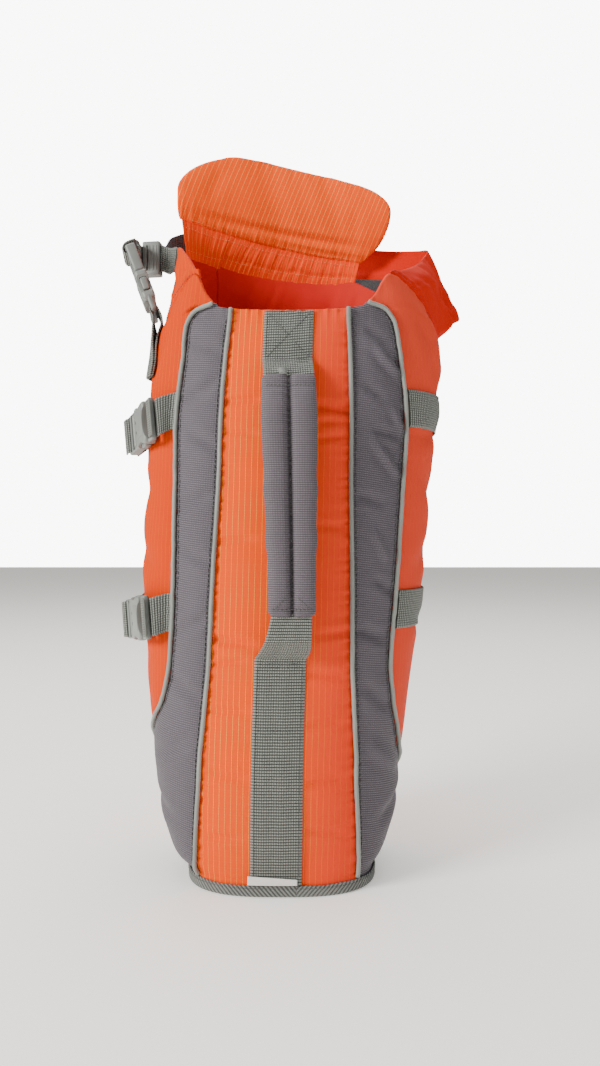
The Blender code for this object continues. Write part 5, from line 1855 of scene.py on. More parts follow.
@dataclass
class Neck:
    """The neck's two wings, the chin float with its gathered root, and the hook patch."""

    wardrobe: Wardrobe
    trunk: Trunk
    wall: float = 0.003
    root: tuple[float, float, float] = (-0.0195, 0.183, 0.5490)
    tilt: float = math.radians(10.9)
    lean: float = 0.24
    stripe_lean: float = 0.22

    def wing_left(self) -> None:
        """The neck piece between the left panel's arch and the chest, lying close."""
        panel = self.trunk.side_left
        share, row = np.meshgrid(np.linspace(0.0, 0.885, 90), even(50))
        arch_height = panel.top(share)
        start = panel.along(share, arch_height)
        low = arch_height + 2 * GAP
        height = mix(low, np.maximum(through(LEFT_NECK, 1, -start), low + 0.004), row)
        along = np.maximum(start, 2 * GAP - through(SEAMS, SeamLine.BELLY.value, height))
        fade = np.sin(math.pi * row) ** 0.6
        fold = creased(LEFT_WING_CREASES, along, height)
        lift = fade * (LEFT_WING_WAVE.at(height + 0.6 * along) + fold)
        lift = lift + self.seam_relief(height - low, along)
        outer = FORM.place(along, height, lift)
        inner = FORM.place(along, height, lift - self.wall)
        piece = shell("wing_cloth_left", outer, inner, np.stack([along, height], -1), 0.0006)
        dress(piece, "orange_cloth", [self.wardrobe.side_ripstop, self.wardrobe.lining], "neck_wing_left")
        at = along[SEWN_ROW, 2:-2], height[SEWN_ROW, 2:-2]
        path = FORM.place(*at, lift[SEWN_ROW, 2:-2] + 0.0001)
        outs = unit(FORM.place(*at, 0.01) - FORM.place(*at))
        sewn("wing_stitches_left", "orange_cloth", self.wardrobe.red_thread, (path, outs))

    def wing_grid(self) -> Array:
        """The right wing's surface, from its neck edge over the fold to the chest."""
        panel = self.trunk.side_right
        share = np.array(WING_SHARES)
        down = np.minimum(1.0, (share - share[0]) / (FLAP_FOOT - share[0]))
        closing = np.maximum(0.0, (share - FLAP_FOOT) / (share[-1] - FLAP_FOOT))
        top = panel.top(share)
        near = FORM.place(panel.along(share, top), top + 6 * GAP, 0.0005)
        height = mix(mix(WING_CHEST_TOP, FLAP_CHEST_FOOT, down), WING_CHEST_FOOT, closing)
        lap = WING_LAP * ease(CHEST_RIGHT - 0.018, CHEST_RIGHT - 0.008, height)
        lap_out = WING_LAP_OUT * ease(CHEST_RIGHT - 0.060, CHEST_RIGHT - 0.030, height)
        chest = FORM.place(through(SEAMS, SeamLine.BELLY.value, height) - 5 * GAP + lap, height, lap_out)
        chest[:, 1] += WING_LEAN * ease(0.525, 0.570, height)
        down, closing = down[:, None], closing[:, None]
        fold = mix(mix(WING_FOLD_TOP, WING_FOLD_FOOT, down), mix(near, chest, 0.5), closing)
        edge, back = unit(fold - near), unit(chest - fold)
        swell = unit(np.array([0.35, -0.8, 0.35])) * 0.006 * np.sin(math.pi * np.minimum(1, down + 0.2))
        size = mix(1.0, CLOSED_SHARE, closing)
        hollow_near, hollow_far = np.array([0, 0.003, 0]), np.array([0, 0.006, 0])
        rows = np.stack([
            near, mix(near, fold, 0.30) + swell, mix(near, fold, 0.65) + swell,
            fold - edge * 0.010 * size, fold, fold + (back * 0.008 + hollow_near) * size,
            mix(fold, chest, 0.40) + hollow_far * size, mix(fold, chest, 0.72) + hollow_near * size,
            chest,
        ], 1)
        rows[..., 2] -= np.array(NECK_SLACK) * (1 - down) ** 2
        return rows

    def seam_relief(self, off: Array, along: Array) -> Array:
        """The groove where cloth is sewn down, and the puckers beside it.

        Args:
            off: The distance from the seam.
            along: The distance along it.

        Returns:
            How far the cloth moves outwards.
        """
        groove = -0.0016 * np.exp(-off / 0.0016) + 0.0011 * np.exp(-(((off - 0.0055) / 0.0034) ** 2))
        return groove + SEAM_WAVE.at(along) * np.exp(-off / 0.006)

    def wing_right(self) -> None:
        """The flap that bulges out and folds back on the right side, and the patch in it."""
        grid = refined(self.wing_grid(), 96, 150)
        outs = grid_outs(grid)
        flat = grid_lengths(grid)
        row, column = even(len(grid) - 1)[:, None], even(grid.shape[1] - 1)[None]
        edges = np.sin(math.pi * row) ** 0.5 * np.sin(math.pi * column) ** 0.5
        over, down = flat[..., 0], flat[..., 1]
        relief = RIGHT_WING_WAVE.at(down + 0.35 * over) * edges
        relief = relief + creased(WING_CREASES, over, down) * edges
        relief = relief + self.seam_relief(over - over[:, :1], down)
        for off, depth in WING_TUCKS:
            line = over - (np.interp(FOLD_PLACE, column[0], over[0]) + off)
            relief = relief - depth * np.exp(-((line / 0.0022) ** 2)) * edges * ease(0.02, 0.12, row)
        outer = grid + relief[..., None] * outs
        inner = outer - self.wall * outs
        piece = shell("wing_cloth_right", outer, inner, flat, 0.0006)
        dress(piece, "orange_cloth", [self.wardrobe.wing_nylon] * 2, "neck_wing_right")
        self.patch(inner, outs, flat)
        step = int(np.argmin(np.abs(over[0] - over[0, 0] - 0.0030)))
        seam = outer[2:-2, step], outs[2:-2, step]
        sewn("wing_stitches", "orange_cloth", self.wardrobe.red_thread, seam)

    def patch(self, inner: Array, outs: Array, flat: Array) -> None:
        """The hook tape sewn inside the right wing.

        Args:
            inner: The points of the wing's inner face.
            outs: The wing's outward directions there.
            flat: The cloth's own lengths there.
        """
        rows, columns = inner.shape[:2]
        i = np.linspace(*PATCH_ROWS, 26) / (len(WING_SHARES) - 1) * (rows - 1)
        j = np.linspace(*PATCH_COLUMNS, 34) / (len(NECK_SLACK) - 1) * (columns - 1)
        i, j = np.meshgrid(i.round().astype(int), j.round().astype(int), indexing="ij")
        base, out = inner[i, j], outs[i, j]
        under, over = base - 2 * GAP * out, base - (2 * GAP + 0.0012) * out
        piece = shell("hook_tape_patch", over, under, flat[i, j], 0.0001)
        dress(piece, "hook_tape", [self.wardrobe.hooks] * 2, "hook_patch")

    def float_place(self, sideways: Array, rise: Array) -> Array:
        """Points of the float's middle surface, which leans to -Y and bends round the neck."""
        x = self.root[0] + sideways * math.cos(self.tilt) + rise * math.sin(self.tilt)
        z = self.root[2] - sideways * math.sin(self.tilt) + rise * math.cos(self.tilt)
        y = self.root[1] + 0.16 * sideways - 2.0 * sideways ** 2 - self.lean * rise
        return np.stack([x, y, z], -1)

    def float(self) -> None:
        """The padded float, pinched at its edges and gathered along its foot."""
        low, high = FLOAT_ROWS[0][0], FLOAT_ROWS[-1][0]
        level = np.sin(0.5 * math.pi * even(84)) * (high - low) + low
        share = 0.5 - 0.5 * np.cos(math.pi * even(170))
        share, rise = np.meshgrid(share, level)
        left, right, thick = (through(FLOAT_ROWS, column, rise) for column in (1, 2, 3))
        sideways = mix(left, right, share)
        crown = (4 * share * (1 - share)) ** 0.42
        belly = 0.20 * np.sin(math.pi * share) * ease(0.03, 0.06, rise)
        half = mix(0.0013, thick / 2, crown) * (1 + belly)
        end = np.minimum(sideways - left, right - sideways)
        foot = np.exp(-(rise - low) / 0.0100)
        gathers = foot * sum(wave.at(sideways) for wave in FLOAT_GATHERS)
        rim = np.exp(-end / 0.006) * FLOAT_END_WAVE.at(rise)
        rim = rim + np.exp(-(high - rise) / 0.008) * FLOAT_TOP_WAVE.at(sideways)
        marks = creased(FLOAT_CREASES, sideways, rise)
        soft = FLOAT_WAVE.at(sideways + 0.5 * rise) * crown
        place = self.float_place(sideways, rise)
        ahead = half + gathers + rim + marks + soft
        behind = half + 0.6 * gathers + rim + 0.6 * soft
        front = place + np.stack([0 * half, -ahead, -self.lean * ahead], -1)
        rear = place + np.stack([0 * half, behind, self.lean * behind], -1)
        flat = np.stack([sideways - self.stripe_lean * rise, rise], -1)
        piece = shell("float_cloth", front, rear, flat, 0.0007)
        dress(piece, "orange_cloth", [self.wardrobe.float_ripstop] * 2, "chin_float")
        spot = np.linspace(*FLOAT_SEAM, 400)
        row = self.float_place(spot, np.full(spot.shape, FLOAT_SEAM_RISE)) + (0, -0.0034, 0)
        sewn("float_stitches", "orange_cloth", self.wardrobe.pale_thread, (row, FLOAT_FRONT))

    def neck_edge(self, along: Array) -> Array:
        """The height of the neck's edge behind the float, on the chest or on the left wing."""
        belly = self.trunk.belly
        height = np.full(along.shape, CHEST_LEFT)
        for _ in range(5):
            across = (along - belly.near(height)) / (belly.far(height) - belly.near(height))
            wing = through(LEFT_NECK, 1, FORM.girth(height) - along)
            height = np.where(across < 1, belly.top(np.minimum(across, 1.0)), wing)
        return height

    def float_root(self) -> None:
        """The crinkled strip that joins the float to the chest."""
        round_neck = float(FORM.girth(np.array(CHEST_LEFT)))
        share, row = np.meshgrid(even(400), even(30))
        along = mix(round_neck - 0.162, 0.235, share)
        foot = FORM.place(along, self.neck_edge(along) - 0.0040, -0.0015)
        low = FLOAT_ROWS[0]
        sideways = mix(low[1] + 0.002, low[2] - 0.002, share)
        head = self.float_place(sideways, np.full(sideways.shape, low[0] - 2 * GAP))
        place = foot + (head - foot) * row[..., None]
        depth = np.interp(row, (0.0, 0.3, 0.75, 1.0), (0.35, 1.0, 1.0, 0.25))
        run = share * 0.19
        lean = run - 0.004 * row
        gathers = sum(wave.at(lean) for wave in ROOT_GATHERS)
        level = np.exp(-(((row - 0.34 - ROOT_LEVEL_WAVE.at(run)) / 0.10) ** 2))
        slump = 0.0013 * np.sin(math.pi * row) ** 2 * (1 + ROOT_SLUMP_WAVE.at(run)) - 0.0011 * level
        place[..., 1] += gathers * depth - slump
        place[..., 2] += depth * ROOT_RISE_WAVE.at(run)
        front, rear = place + (0, -0.0012, 0), place + (0, 0.0012, 0)
        piece = shell("root_cloth", front, rear, np.stack([sideways, row * ROOT_SIZE[1]], -1), 0.0002)
        dress(piece, "orange_cloth", [self.wardrobe.root_ripstop] * 2, "float_root")
        rows = [(front[row, 4:-4] + (0, -0.0001, 0), FLOAT_FRONT) for row in ROOT_SEAMS]
        sewn("root_stitches", "orange_cloth", self.wardrobe.pale_thread, *rows)

    def build(self) -> None:
        """Makes the neck."""
        self.wing_left()
        self.wing_right()
        self.float()
        self.float_root()


# Straps and buckles

BUCKLE_WIDTH, BUCKLE_THICKNESS = 0.036, 0.011
BUCKLE_HALF, BUCKLE_DEEP = BUCKLE_WIDTH / 2, BUCKLE_THICKNESS / 2
SOCKET_LENGTH, PLUG_END = 0.038, 0.064
BAR, BAR_HALF = 0.0035, 0.0024
SLOT_EDGE = 0.0152
WEBBING_WALL = 0.0016
LOOP_OFF = BUCKLE_THICKNESS / 2 + WEBBING_WALL / 2 + 2 * GAP
PLUG_OFF, BAR_OFF = LOOP_OFF - 0.0008, BAR_HALF + WEBBING_WALL / 2 + GAP
KEEPER, KEEPER_STEP = np.array([-0.1275, 0.1400, 0.5410]), (-1, 0.15, 0)
NECK_STRAP, FREE_END, BELLY_STRAP = 0.024, 0.022, 0.030
# each belly strap's height, and where its buckle lies on the left flank: the bar's and the tip's
# share across the panel, height and distance off it, and then the buckle's outer side
BELLY_STRAPS = {
    "upper": (0.3840, (0.905, 0.3760, 0.0122), (0.50, 0.3655, 0.0185), (-0.72, -0.69, 0)),
    "lower": (0.2190, (0.895, 0.2130, 0.0120), (0.48, 0.2045, 0.0185), (-0.70, -0.71, 0)),
}
NECK_SEAT = ((-0.1170, 0.1000, 0.4760), (-0.1430, 0.1060, 0.5430), (-1, -0.12, 0))
# height and distance off the left flank of the neck tab's two layers, and where the tab lies across it
TAB_UNDER = ((0.4180, 0.0015), (0.4310, 0.0015), (0.4440, 0.0015), (0.4540, 0.0015))
TAB_OVER = ((0.4600, 0.0078), (0.4480, 0.0050), (0.4330, 0.0037), (0.4190, 0.0035))
TAB_SHARE = 0.62
# distance along the cloth and height of the neck strap's run on the left wing
NECK_RUN = ((-0.195, 0.5260), (-0.172, 0.5290), (-0.150, 0.5330))
FREE_RUN = ((-0.1120, 0.1580, 0.5560), (-0.0960, 0.1740, 0.5680))
# shares of a strap's width from its middle, and its two faces off the cloth
ACROSS, FACES = (even(12) - 0.5)[:, None], np.array([[0.0, WEBBING_WALL]])


class Seat:
    """Where a buckle lies: its origin, its length from the bar, its width and its outer side."""

    def __init__(self, origin: Sequence[float], tip: Sequence[float], out: Sequence[float]) -> None:
        """Works out the buckle's own axes from two places and its outer side."""
        self.origin = np.asarray(origin, float)
        self.length = unit(np.asarray(tip, float) - self.origin)
        self.width = unit(np.cross(np.asarray(out, float), self.length))
        self.out = np.cross(self.length, self.width)

    def at(self, length: float, width: float, out: float) -> Array:
        """The point at a place in the buckle's own axes."""
        return self.origin + self.length * length + self.width * width + self.out * out

    def matrix(self) -> Matrix:
        """The turn and move that seat a moulding made in its own axes."""
        columns = np.stack([self.length, self.width, self.out, self.origin], -1)
        return Matrix(np.vstack([columns, (0, 0, 0, 1)]).tolist())


def loop_spots(end: float, turn: int, lead: float, off: float) -> list[tuple[float, float]]:
    """Where webbing runs as it turns round a buckle's bar.

    Args:
        end: The length at which the bar's outer edge lies.
        turn: 1 for the socket's bar, and -1 for the plug's.
        lead: How far from the bar the run starts.
        off: How far the webbing's middle lies off the bar's.

    Returns:
        Places by length and outer side, in the buckle's own axes.
    """
    inside, bar = end + turn * (BAR + 0.0020), end + turn * BAR / 2
    return [
        (end - turn * lead, -off), (bar, -off), (inside - turn * 0.0008, 0.0008 - off),
        (inside, 0.0), (inside - turn * 0.0008, off - 0.0008), (bar, off),
        (end - turn * 0.004, off - 0.0005),
    ]


def band(middle: Array, over: Array, out: Array, width: float) -> Array:
    """A section of webbing, by place across and face, from its middle and its two directions."""
    places = ACROSS[..., None] * width * unit(over)
    walls = (np.array([-0.5, 0.5]) * WEBBING_WALL)[None, :, None] * unit(out)
    return middle + places + walls


def wrap(seat: Seat, spots: Sequence[tuple[float, float]], side: int, width: float) -> list[Array]:
    """Sections of webbing that turns round a buckle's bar.

    Args:
        seat: Where the buckle lies.
        spots: Places by length and outer side, in the buckle's own axes.
        side: 1 where the webbing's first face is on the right of its run, and -1 on the left.
        width: The webbing's width.

    Returns:
        The sections.
    """
    sections = []
    for i, (length, out) in enumerate(spots):
        before, after = spots[max(i - 1, 0)], spots[min(i + 1, len(spots) - 1)]
        run = unit(np.array([after[0] - before[0], after[1] - before[1]])) * side
        facing = seat.out * run[0] - seat.length * run[1]
        sections.append(band(seat.at(length, 0, out), -seat.width, facing, width))
    return sections


@dataclass
class Straps:
    """The belly straps, and the neck strap with its tab and free end."""

    wardrobe: Wardrobe
    trunk: Trunk

    @cached_property
    def seats(self) -> dict[str, Seat]:
        """Where the three buckles lie, by the first word of their names."""
        left = self.trunk.side_left

        def spot(share: float, height: float, out: float) -> Array:
            """A place off the left flank's panel."""
            place = np.array(share), np.array(height)
            return FORM.place(left.along(*place), place[1], out + 0.0040 * left.fullness(*place))

        seats = {
            name: Seat(spot(*bar), spot(*tip), out) for name, (_, bar, tip, out) in BELLY_STRAPS.items()
        }
        return seats | {"neck": Seat(*NECK_SEAT)}

    def lying(self, panel: PanelCloth, low: float, high: float, count: int, height: float) -> list[Array]:
        """Sections of webbing that lies across a panel.

        Args:
            panel: The panel.
            low: The share across it at which the webbing starts.
            high: The share at which it ends.
            count: The number of sections.
            height: The height of the webbing's middle.

        Returns:
            The sections.
        """
        heights, outs = np.broadcast_arrays(height + ACROSS * BELLY_STRAP, 3 * GAP + FACES)
        shares = np.linspace(low, high, count)
        return [panel.point(np.full(heights.shape, share), heights, outs) for share in shares]

    def belly_strap(self, name: str, height: float, seat: Seat) -> None:
        """The long run from the right seam round the belly to the plug, and the short one to the socket.

        Args:
            name: The first part of the two nodes' names.
            height: The height of the webbing's middle.
            seat: Where its buckle lies.
        """
        trunk = self.trunk
        long = self.lying(trunk.side_right, 0.022, 0.985, 40, height)
        long += self.lying(trunk.belly, 0.015, 0.985, 40, height)
        long += self.lying(trunk.side_left, 0.015, 0.31, 14, height)
        long += wrap(seat, loop_spots(PLUG_END, -1, 0.009, PLUG_OFF), -1, BELLY_STRAP)
        short = self.lying(trunk.side_left, 0.992, 0.968, 4, height - 0.002)
        short += wrap(seat, loop_spots(0.0, 1, 0.005, BAR_OFF), 1, BELLY_STRAP)
        for node, sections in ((f"{name}_long", long), (f"{name}_short", short)):
            self.strap(node, sections, self.wardrobe.strap_webbing)

    def strap(
        self, node: str, sections: Sequence[Array], finish: bpy.types.Material,
        slot: str = "webbing",
    ) -> None:
        """One run of webbing in place of its node.

        Args:
            node: The node's name.
            sections: The webbing's sections, along its run.
            finish: Its material.
            slot: The material's slot.
        """
        faces = np.stack(sections)
        piece = strip(f"{node}_webbing", faces, WEBBING_WALL, 0.0016)
        dress(piece, slot, [finish], node)

    def tab_layer(self, rows: Sequence[tuple[float, float]], order: int) -> list[Array]:
        """Sections of one layer of the neck tab, its outer face first where the order is -1."""
        left = self.trunk.side_left
        sections = []
        for height, out in rows:
            width = abs(float(left.far(np.array(height)) - left.near(np.array(height))))
            share = TAB_SHARE + ACROSS * NECK_STRAP / width
            share, outs = np.broadcast_arrays(share, out + FACES[:, ::order])
            sections.append(left.point(share, np.full(share.shape, height), outs))
        return sections

    def neck_straps(self) -> None:
        """The tab, the run through the keeper and the free end behind the float."""
        seat, webbing = self.seats["neck"], self.wardrobe.neck_webbing
        tab = self.tab_layer(TAB_UNDER, 1)
        tab += wrap(seat, loop_spots(0.0, 1, 0.009, BAR_OFF), 1, NECK_STRAP)
        tab += self.tab_layer(TAB_OVER, -1)
        self.strap("neck_strap_tab", tab, webbing)
        self.strap("neck_strap_run", self.neck_run(seat), webbing)
        up, back, step = np.array([0, 0, 1.0]), unit(np.array([0.15, 1, 0])), unit(np.array(KEEPER_STEP))
        middles = [KEEPER + off * step + 0.0036 * back for off in (0.0085, -0.0100)]
        free = [band(middle, up, -back, FREE_END) for middle in (*middles, *np.array(FREE_RUN))]
        # the free end is dressed in the webbing painted dark as shade
        self.strap("neck_strap_end", free, self.wardrobe.dark_webbing, "dark_webbing")

    def neck_run(self, seat: Seat) -> list[Array]:
        """Sections of the neck strap from the left wing through the keeper and round the plug's bar."""
        up, back, step = np.array([0, 0, 1.0]), np.array([0.15, 1, 0]), unit(np.array(KEEPER_STEP))
        sections = []
        for along, height in NECK_RUN:
            heights, outs = np.broadcast_arrays(height + ACROSS * NECK_STRAP, 0.0015 + FACES)
            sections.append(FORM.place(np.full(heights.shape, along), heights, outs))
        middles = [KEEPER - 0.017 * step - 0.003 * up, KEEPER - 0.0095 * step, KEEPER, KEEPER + 0.0095 * step]
        sections += [band(middle, up, back, NECK_STRAP) for middle in middles]
        end, slot = PLUG_END, PLUG_END - BAR - 0.0028
        start = (end + 0.0045, -0.0060)
        for share in (0.35, 0.7):
            turn = math.radians(90 * share)
            over = np.array([0, -math.sin(turn), math.cos(turn)])
            out = np.array([0, math.cos(turn), math.sin(turn)])
            middle = mix(middles[-1], seat.at(start[0], 0, start[1]), share)
            sections.append(band(middle, over, out, NECK_STRAP))
        spots = [
            start, (end + 0.0035, 0.0030), (end - 0.001, LOOP_OFF), (slot + 0.0008, LOOP_OFF - 0.0008),
            (slot, 0.0), (slot + 0.0008, 0.0008 - LOOP_OFF), (end - 0.001, -LOOP_OFF),
        ]
        return sections + wrap(seat, spots, -1, NECK_STRAP)

    def build(self) -> None:
        """Makes the straps."""
        for name, (height, *_) in BELLY_STRAPS.items():
            self.belly_strap(f"{name}_strap", height, self.seats[name])
        self.neck_straps()


class Moulding:
    """A plastic moulding, modelled in its own axes: length, width and outer side."""

    def __init__(
        self, name: str, low: Sequence[float], high: Sequence[float], round_: float = 0.0
    ) -> None:
        """Starts with a rounded block as its body."""
        self.body = self.block(low, high, round_, 4)
        self.body.name = name

    def block(
        self, low: Sequence[float], high: Sequence[float], round_: float, steps: int
    ) -> bpy.types.Object:
        """A block between two corners, with its edges rounded.

        Args:
            low: One corner.
            high: The corner across from it.
            round_: The radius of its edges.
            steps: The number of segments in each rounded edge.

        Returns:
            The block.
        """
        bpy.ops.object.select_all(action="DESELECT")
        low, high = Vector(map(min, low, high)), Vector(map(max, low, high))
        bpy.ops.mesh.primitive_cube_add(size=1, location=(low + high) / 2, scale=high - low)
        obj = bpy.context.object
        bpy.ops.object.transform_apply(location=True, rotation=True, scale=True)
        if round_:
            bpy.ops.object.mode_set(mode="EDIT")
            bpy.ops.mesh.select_all(action="SELECT")
            bpy.ops.mesh.bevel(offset=round_, segments=steps, affect="EDGES")
            bpy.ops.object.mode_set(mode="OBJECT")
        return obj

    def work(self, operation: str, obj: bpy.types.Object) -> None:
        """Joins an object to the body, or cuts it out of it."""
        joint = self.body.modifiers.new(operation.title(), "BOOLEAN")
        joint.operation, joint.object, joint.solver = operation, obj, "EXACT"
        bpy.context.view_layer.objects.active = self.body
        bpy.ops.object.modifier_apply(modifier=joint.name)
        bpy.data.objects.remove(obj)

    def add(self, low: Sequence[float], high: Sequence[float], round_: float = 0.0, steps: int = 2) -> None:
        """Joins a rounded block to the body."""
        self.work("UNION", self.block(low, high, round_, steps))

    def cut(self, low: Sequence[float], high: Sequence[float], round_: float = 0.0) -> None:
        """Cuts a rounded block out of the body."""
        self.work("DIFFERENCE", self.block(low, high, round_, 2))

    def bored(self, length: float, width: float, radius: float) -> None:
        """Cuts an upright round hole, which may open through the body's edge."""
        bpy.ops.object.select_all(action="DESELECT")
        place = (length, width, 0)
        bpy.ops.mesh.primitive_cylinder_add(vertices=64, radius=radius, depth=0.05, location=place)
        self.work("DIFFERENCE", bpy.context.object)

    def seated(self, seat: Seat) -> bpy.types.Object:
        """Puts the body in its seat, with its edges softened and its faces smooth."""
        obj = self.body
        bpy.ops.object.select_all(action="DESELECT")
        obj.select_set(True)
        bpy.context.view_layer.objects.active = obj
        soften = obj.modifiers.new("Soften", "BEVEL")
        soften.width, soften.segments, soften.limit_method = 0.00030, 2, "ANGLE"
        soften.angle_limit = math.radians(38)
        bpy.ops.object.modifier_apply(modifier=soften.name)
        obj.data.transform(seat.matrix())
        bpy.ops.object.shade_smooth_by_angle(angle=math.radians(32))
        if not obj.data.uv_layers:
            obj.data.uv_layers.new(name=CLOTH_MAP)
        return obj


@dataclass
class Buckle:
    """A side-release buckle: a socket with a raised plate, and the plug that is pushed into it.

    Its bars, plates and ribs lie along its length, from 0 at the socket's bar to the plug's end.
    """

    name: str
    seat: Seat
    plastic: bpy.types.Material
    plate: float = 0.0105
    hollow: float = 0.0032
    curve: float = 0.030
    waist: float = 0.0245
    waist_curve: float = 0.014
    waist_depth: float = 0.003
    mouth: float = 0.0031
    slots: tuple[float, float] = (0.0475, 0.0575)
    through_all: float = 0.02

    def socket(self) -> bpy.types.Object:
        """The socket, with a bar for its strap, a mouth and a window on each side."""
        half, deep, mouth, far = BUCKLE_HALF, BUCKLE_DEEP, self.mouth, self.through_all
        name = f"{self.name}_socket_moulding"
        made = Moulding(name, (self.plate, -half, -deep), (SOCKET_LENGTH, half, deep), 0.0026)
        made.cut((self.plate + 0.008, -half + 0.003, -mouth), (0.05, half - 0.003, mouth), 0.0006)
        made.bored(self.plate + self.hollow - self.curve, 0.0, self.curve)
        ring = Moulding("ring", (0, -half, -BAR_HALF), (self.plate + 0.0040, half, BAR_HALF), 0.0018)
        ring.cut((BAR, -SLOT_EDGE, -far), (self.plate + 0.02, SLOT_EDGE, far), 0.0010)
        made.work("UNION", ring.body)
        made.cut((self.waist - 0.0065, -0.03, -mouth), (self.waist + 0.0065, 0.03, mouth), 0.0010)
        for side in (-1, 1):
            made.bored(self.waist, side * (half + self.waist_curve - self.waist_depth), self.waist_curve)
            low, high = SOCKET_LENGTH - 0.0062, SOCKET_LENGTH - 0.0040
            made.cut((low, side * 0.0030, deep - 0.0016), (high, side * 0.0058, far), 0.0003)
        low, high = self.waist - 0.0105, SOCKET_LENGTH - 0.0085
        made.add((low, -0.0105, deep - 0.0006), (high, 0.0105, deep + 0.0004), 0.0004)
        return made.seated(self.seat)

    def plug(self) -> bpy.types.Object:
        """The plug, with its two springs, its guide and the slots that its strap runs through."""
        half, deep, far = BUCKLE_HALF, BUCKLE_DEEP, self.through_all
        start = SOCKET_LENGTH + GAP
        low, high = (start, -half + 0.001, -deep + 0.001), (PLUG_END, half - 0.001, deep - 0.001)
        made = Moulding(f"{self.name}_plug_moulding", low, high, 0.0019)
        for middle in self.slots:
            made.cut((middle - 0.0025, -0.0155, -far), (middle + 0.0025, 0.0155, far), 0.0006)
        made.add((0.016, -0.0035, -0.0025), (start + 0.002, 0.0035, 0.0025), 0.0006)
        for side in (-1, 1):
            low, high = side * (half - 0.0075), side * (half - 0.0035)
            made.add((0.020, low, -0.0025), (start + 0.002, high, 0.0025), 0.0007)
            low, high = side * (half - 0.0050), side * (half + 0.0008)
            made.add((0.0190, low, -0.0029), (0.0300, high, 0.0029), 0.0014, 4)
        # where the first rib starts, how many there are, their pitch, length, inset and top
        for first, count, pitch, length, inset, top in (
            (start + 0.0012, 5, 0.0011, 0.0006, 0.0045, 0.0006),
            (PLUG_END - 0.0048, 3, 0.0014, 0.0008, 0.0030, 0.0005),
        ):
            for i in range(count):
                low, side = first + i * pitch, half - inset
                made.add((low, -side, deep - 0.0016), (low + length, side, deep - top), 0.0002, 1)
        return made.seated(self.seat)

    def build(self) -> None:
        """Makes both halves."""
        for make, half in ((self.socket, "socket"), (self.plug, "plug")):
            dress(make(), "buckle_plastic", [self.plastic], f"{self.name}_{half}")


@dataclass
class Keeper:
    """The slide that holds the neck strap's two layers together."""

    plastic: bpy.types.Material
    ribs: int = 4
    pitch: float = 0.0034

    def build(self) -> None:
        """Makes the slide."""
        seat = Seat(KEEPER, KEEPER + KEEPER_STEP, (-0.15, -1, 0))
        made = Moulding("neck_keeper_moulding", (-0.0085, -0.0160, -0.0075), (0.0085, 0.0160, 0.0035), 0.0014)
        made.cut((-0.02, -0.0130, -0.0055), (0.02, 0.0130, 0.0018))
        for i in range(self.ribs):
            low = -0.0060 + i * self.pitch
            made.add((low, -0.0120, 0.0028), (low + 0.0016, 0.0120, 0.0039), 0.0004)
        dress(made.seated(seat), "buckle_plastic", [self.plastic], "neck_keeper")


# Stage

FLOOR_DARK, FLOOR_PALE, FLOOR_GLOW = (0.95, 0.93, 0.89), (0.98, 0.96, 0.92), (1.0, 0.96, 0.90)
# name, place, size, power and tint of each lamp
LAMPS = (
    ("key", (-1.9, -1.1, 1.2), 0.9, 84, (1.0, 0.975, 0.94)),
    ("fill", (1.8, -1.3, 0.8), 1.6, 9, (0.97, 0.98, 1.0)),
    ("top", (0.0, 0.6, 2.4), 2.0, 62, (1.0, 0.99, 0.97)),
)
# colour and strength of the world as a light, and as what the camera sees
WORLDS = (((1.0, 0.98, 0.96), 0.26), ((1.0, 0.995, 0.985), 9.0))


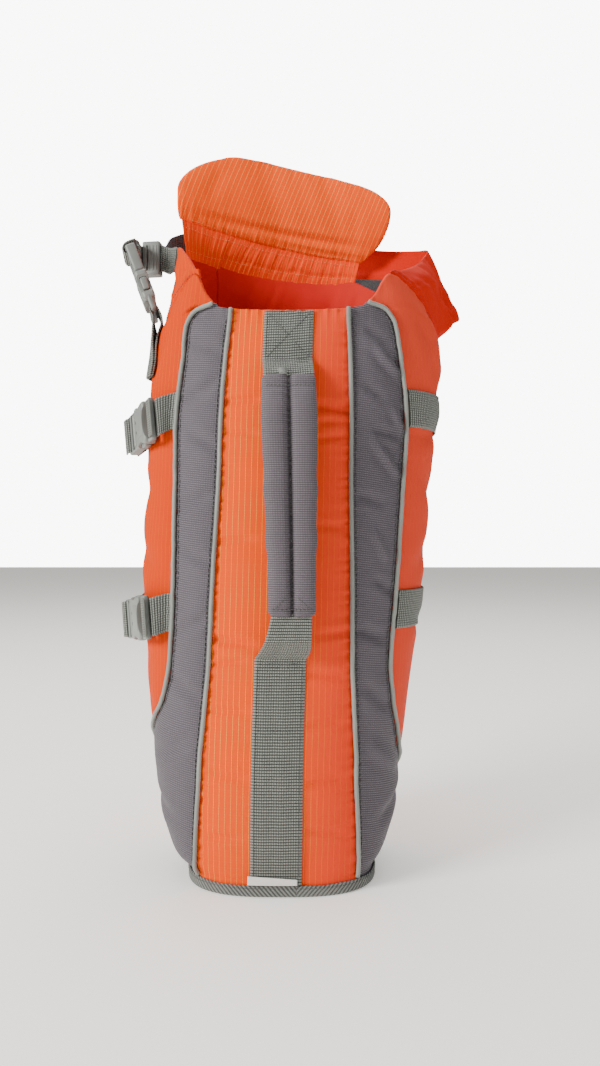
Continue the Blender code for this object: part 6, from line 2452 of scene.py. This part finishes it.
@dataclass(frozen=True)
class Stage:
    """The pale floor, the soft lights and the camera."""

    eye: tuple[float, float, float] = (0.013, -0.62, 0.281)
    lens: float = 27.05
    aim: tuple[float, float, float] = (0.0, 0.05, 0.30)

    def floor(self) -> None:
        """A pale floor, just under the hem."""
        bpy.ops.mesh.primitive_plane_add(size=12.0, location=(0, 0, -0.0002))
        plane = bpy.context.object
        plane.name = "floor"
        paint = Paint("floor")
        colour = paint.blend(FLOOR_DARK, FLOOR_PALE, paint.noise(3))
        finish = paint.finish(colour, 0.9, emission_color=FLOOR_GLOW, emission_strength=0.40)
        plane.data.materials.append(finish)

    def put(self, name: str, data: bpy.types.ID, place: Sequence[float]) -> bpy.types.Object:
        """Puts a lamp or a camera in the scene."""
        holder = bpy.data.objects.new(name, data)
        holder.location = place
        bpy.context.scene.collection.objects.link(holder)
        return holder

    def light(self, name: str, place: Sequence[float], size: float, power: float, tint: Colour) -> None:
        """A square lamp that faces the jacket."""
        lamp = bpy.data.lights.new(name, "AREA")
        lamp.size, lamp.energy, lamp.color = size, power, tint
        towards = Vector(self.aim) - Vector(place)
        self.put(name, lamp, place).rotation_euler = towards.to_track_quat("-Z", "Y").to_euler()

    def world(self) -> None:
        """A dim even light, which the camera sees as a bright wall."""
        world = bpy.data.worlds.new("studio")
        bpy.context.scene.world = world
        world.use_nodes = True
        tree = world.node_tree
        either, path = tree.nodes.new("ShaderNodeMixShader"), tree.nodes.new("ShaderNodeLightPath")
        tree.links.new(path.outputs["Is Camera Ray"], either.inputs[0])
        for index, (colour, strength) in enumerate(WORLDS, 1):
            light = tree.nodes.new("ShaderNodeBackground")
            light.inputs["Color"].default_value = (*colour, 1)
            light.inputs["Strength"].default_value = strength
            tree.links.new(light.outputs[0], either.inputs[index])
        tree.links.new(either.outputs[0], tree.nodes["World Output"].inputs[0])

    def build(self) -> None:
        """Sets up floor, world, lights and camera."""
        self.floor()
        self.world()
        for lamp in LAMPS:
            self.light(*lamp)
        camera = bpy.data.cameras.new("camera")
        camera.lens, camera.sensor_width, camera.sensor_fit = self.lens, 36.0, "AUTO"
        holder = self.put("camera", camera, self.eye)
        holder.rotation_euler = (math.radians(90), 0, 0)
        bpy.context.scene.camera = holder


def main() -> None:
    """Builds the jacket's pieces in order, and the stage."""
    logging.basicConfig(level=logging.INFO, format="%(message)s")
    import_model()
    bpy.ops.object.select_all(action="DESELECT")
    wardrobe = Wardrobe()
    trunk = Trunk(wardrobe)
    trunk.build()
    for kind in (Edging, Handle, Neck):
        kind(wardrobe, trunk).build()
    straps = Straps(wardrobe, trunk)
    straps.build()
    for name, seat in straps.seats.items():
        Buckle(f"{name}_buckle", seat, wardrobe.plastic).build()
    Keeper(wardrobe.plastic).build()
    Stage().build()


if __name__ == "__main__":
    main()
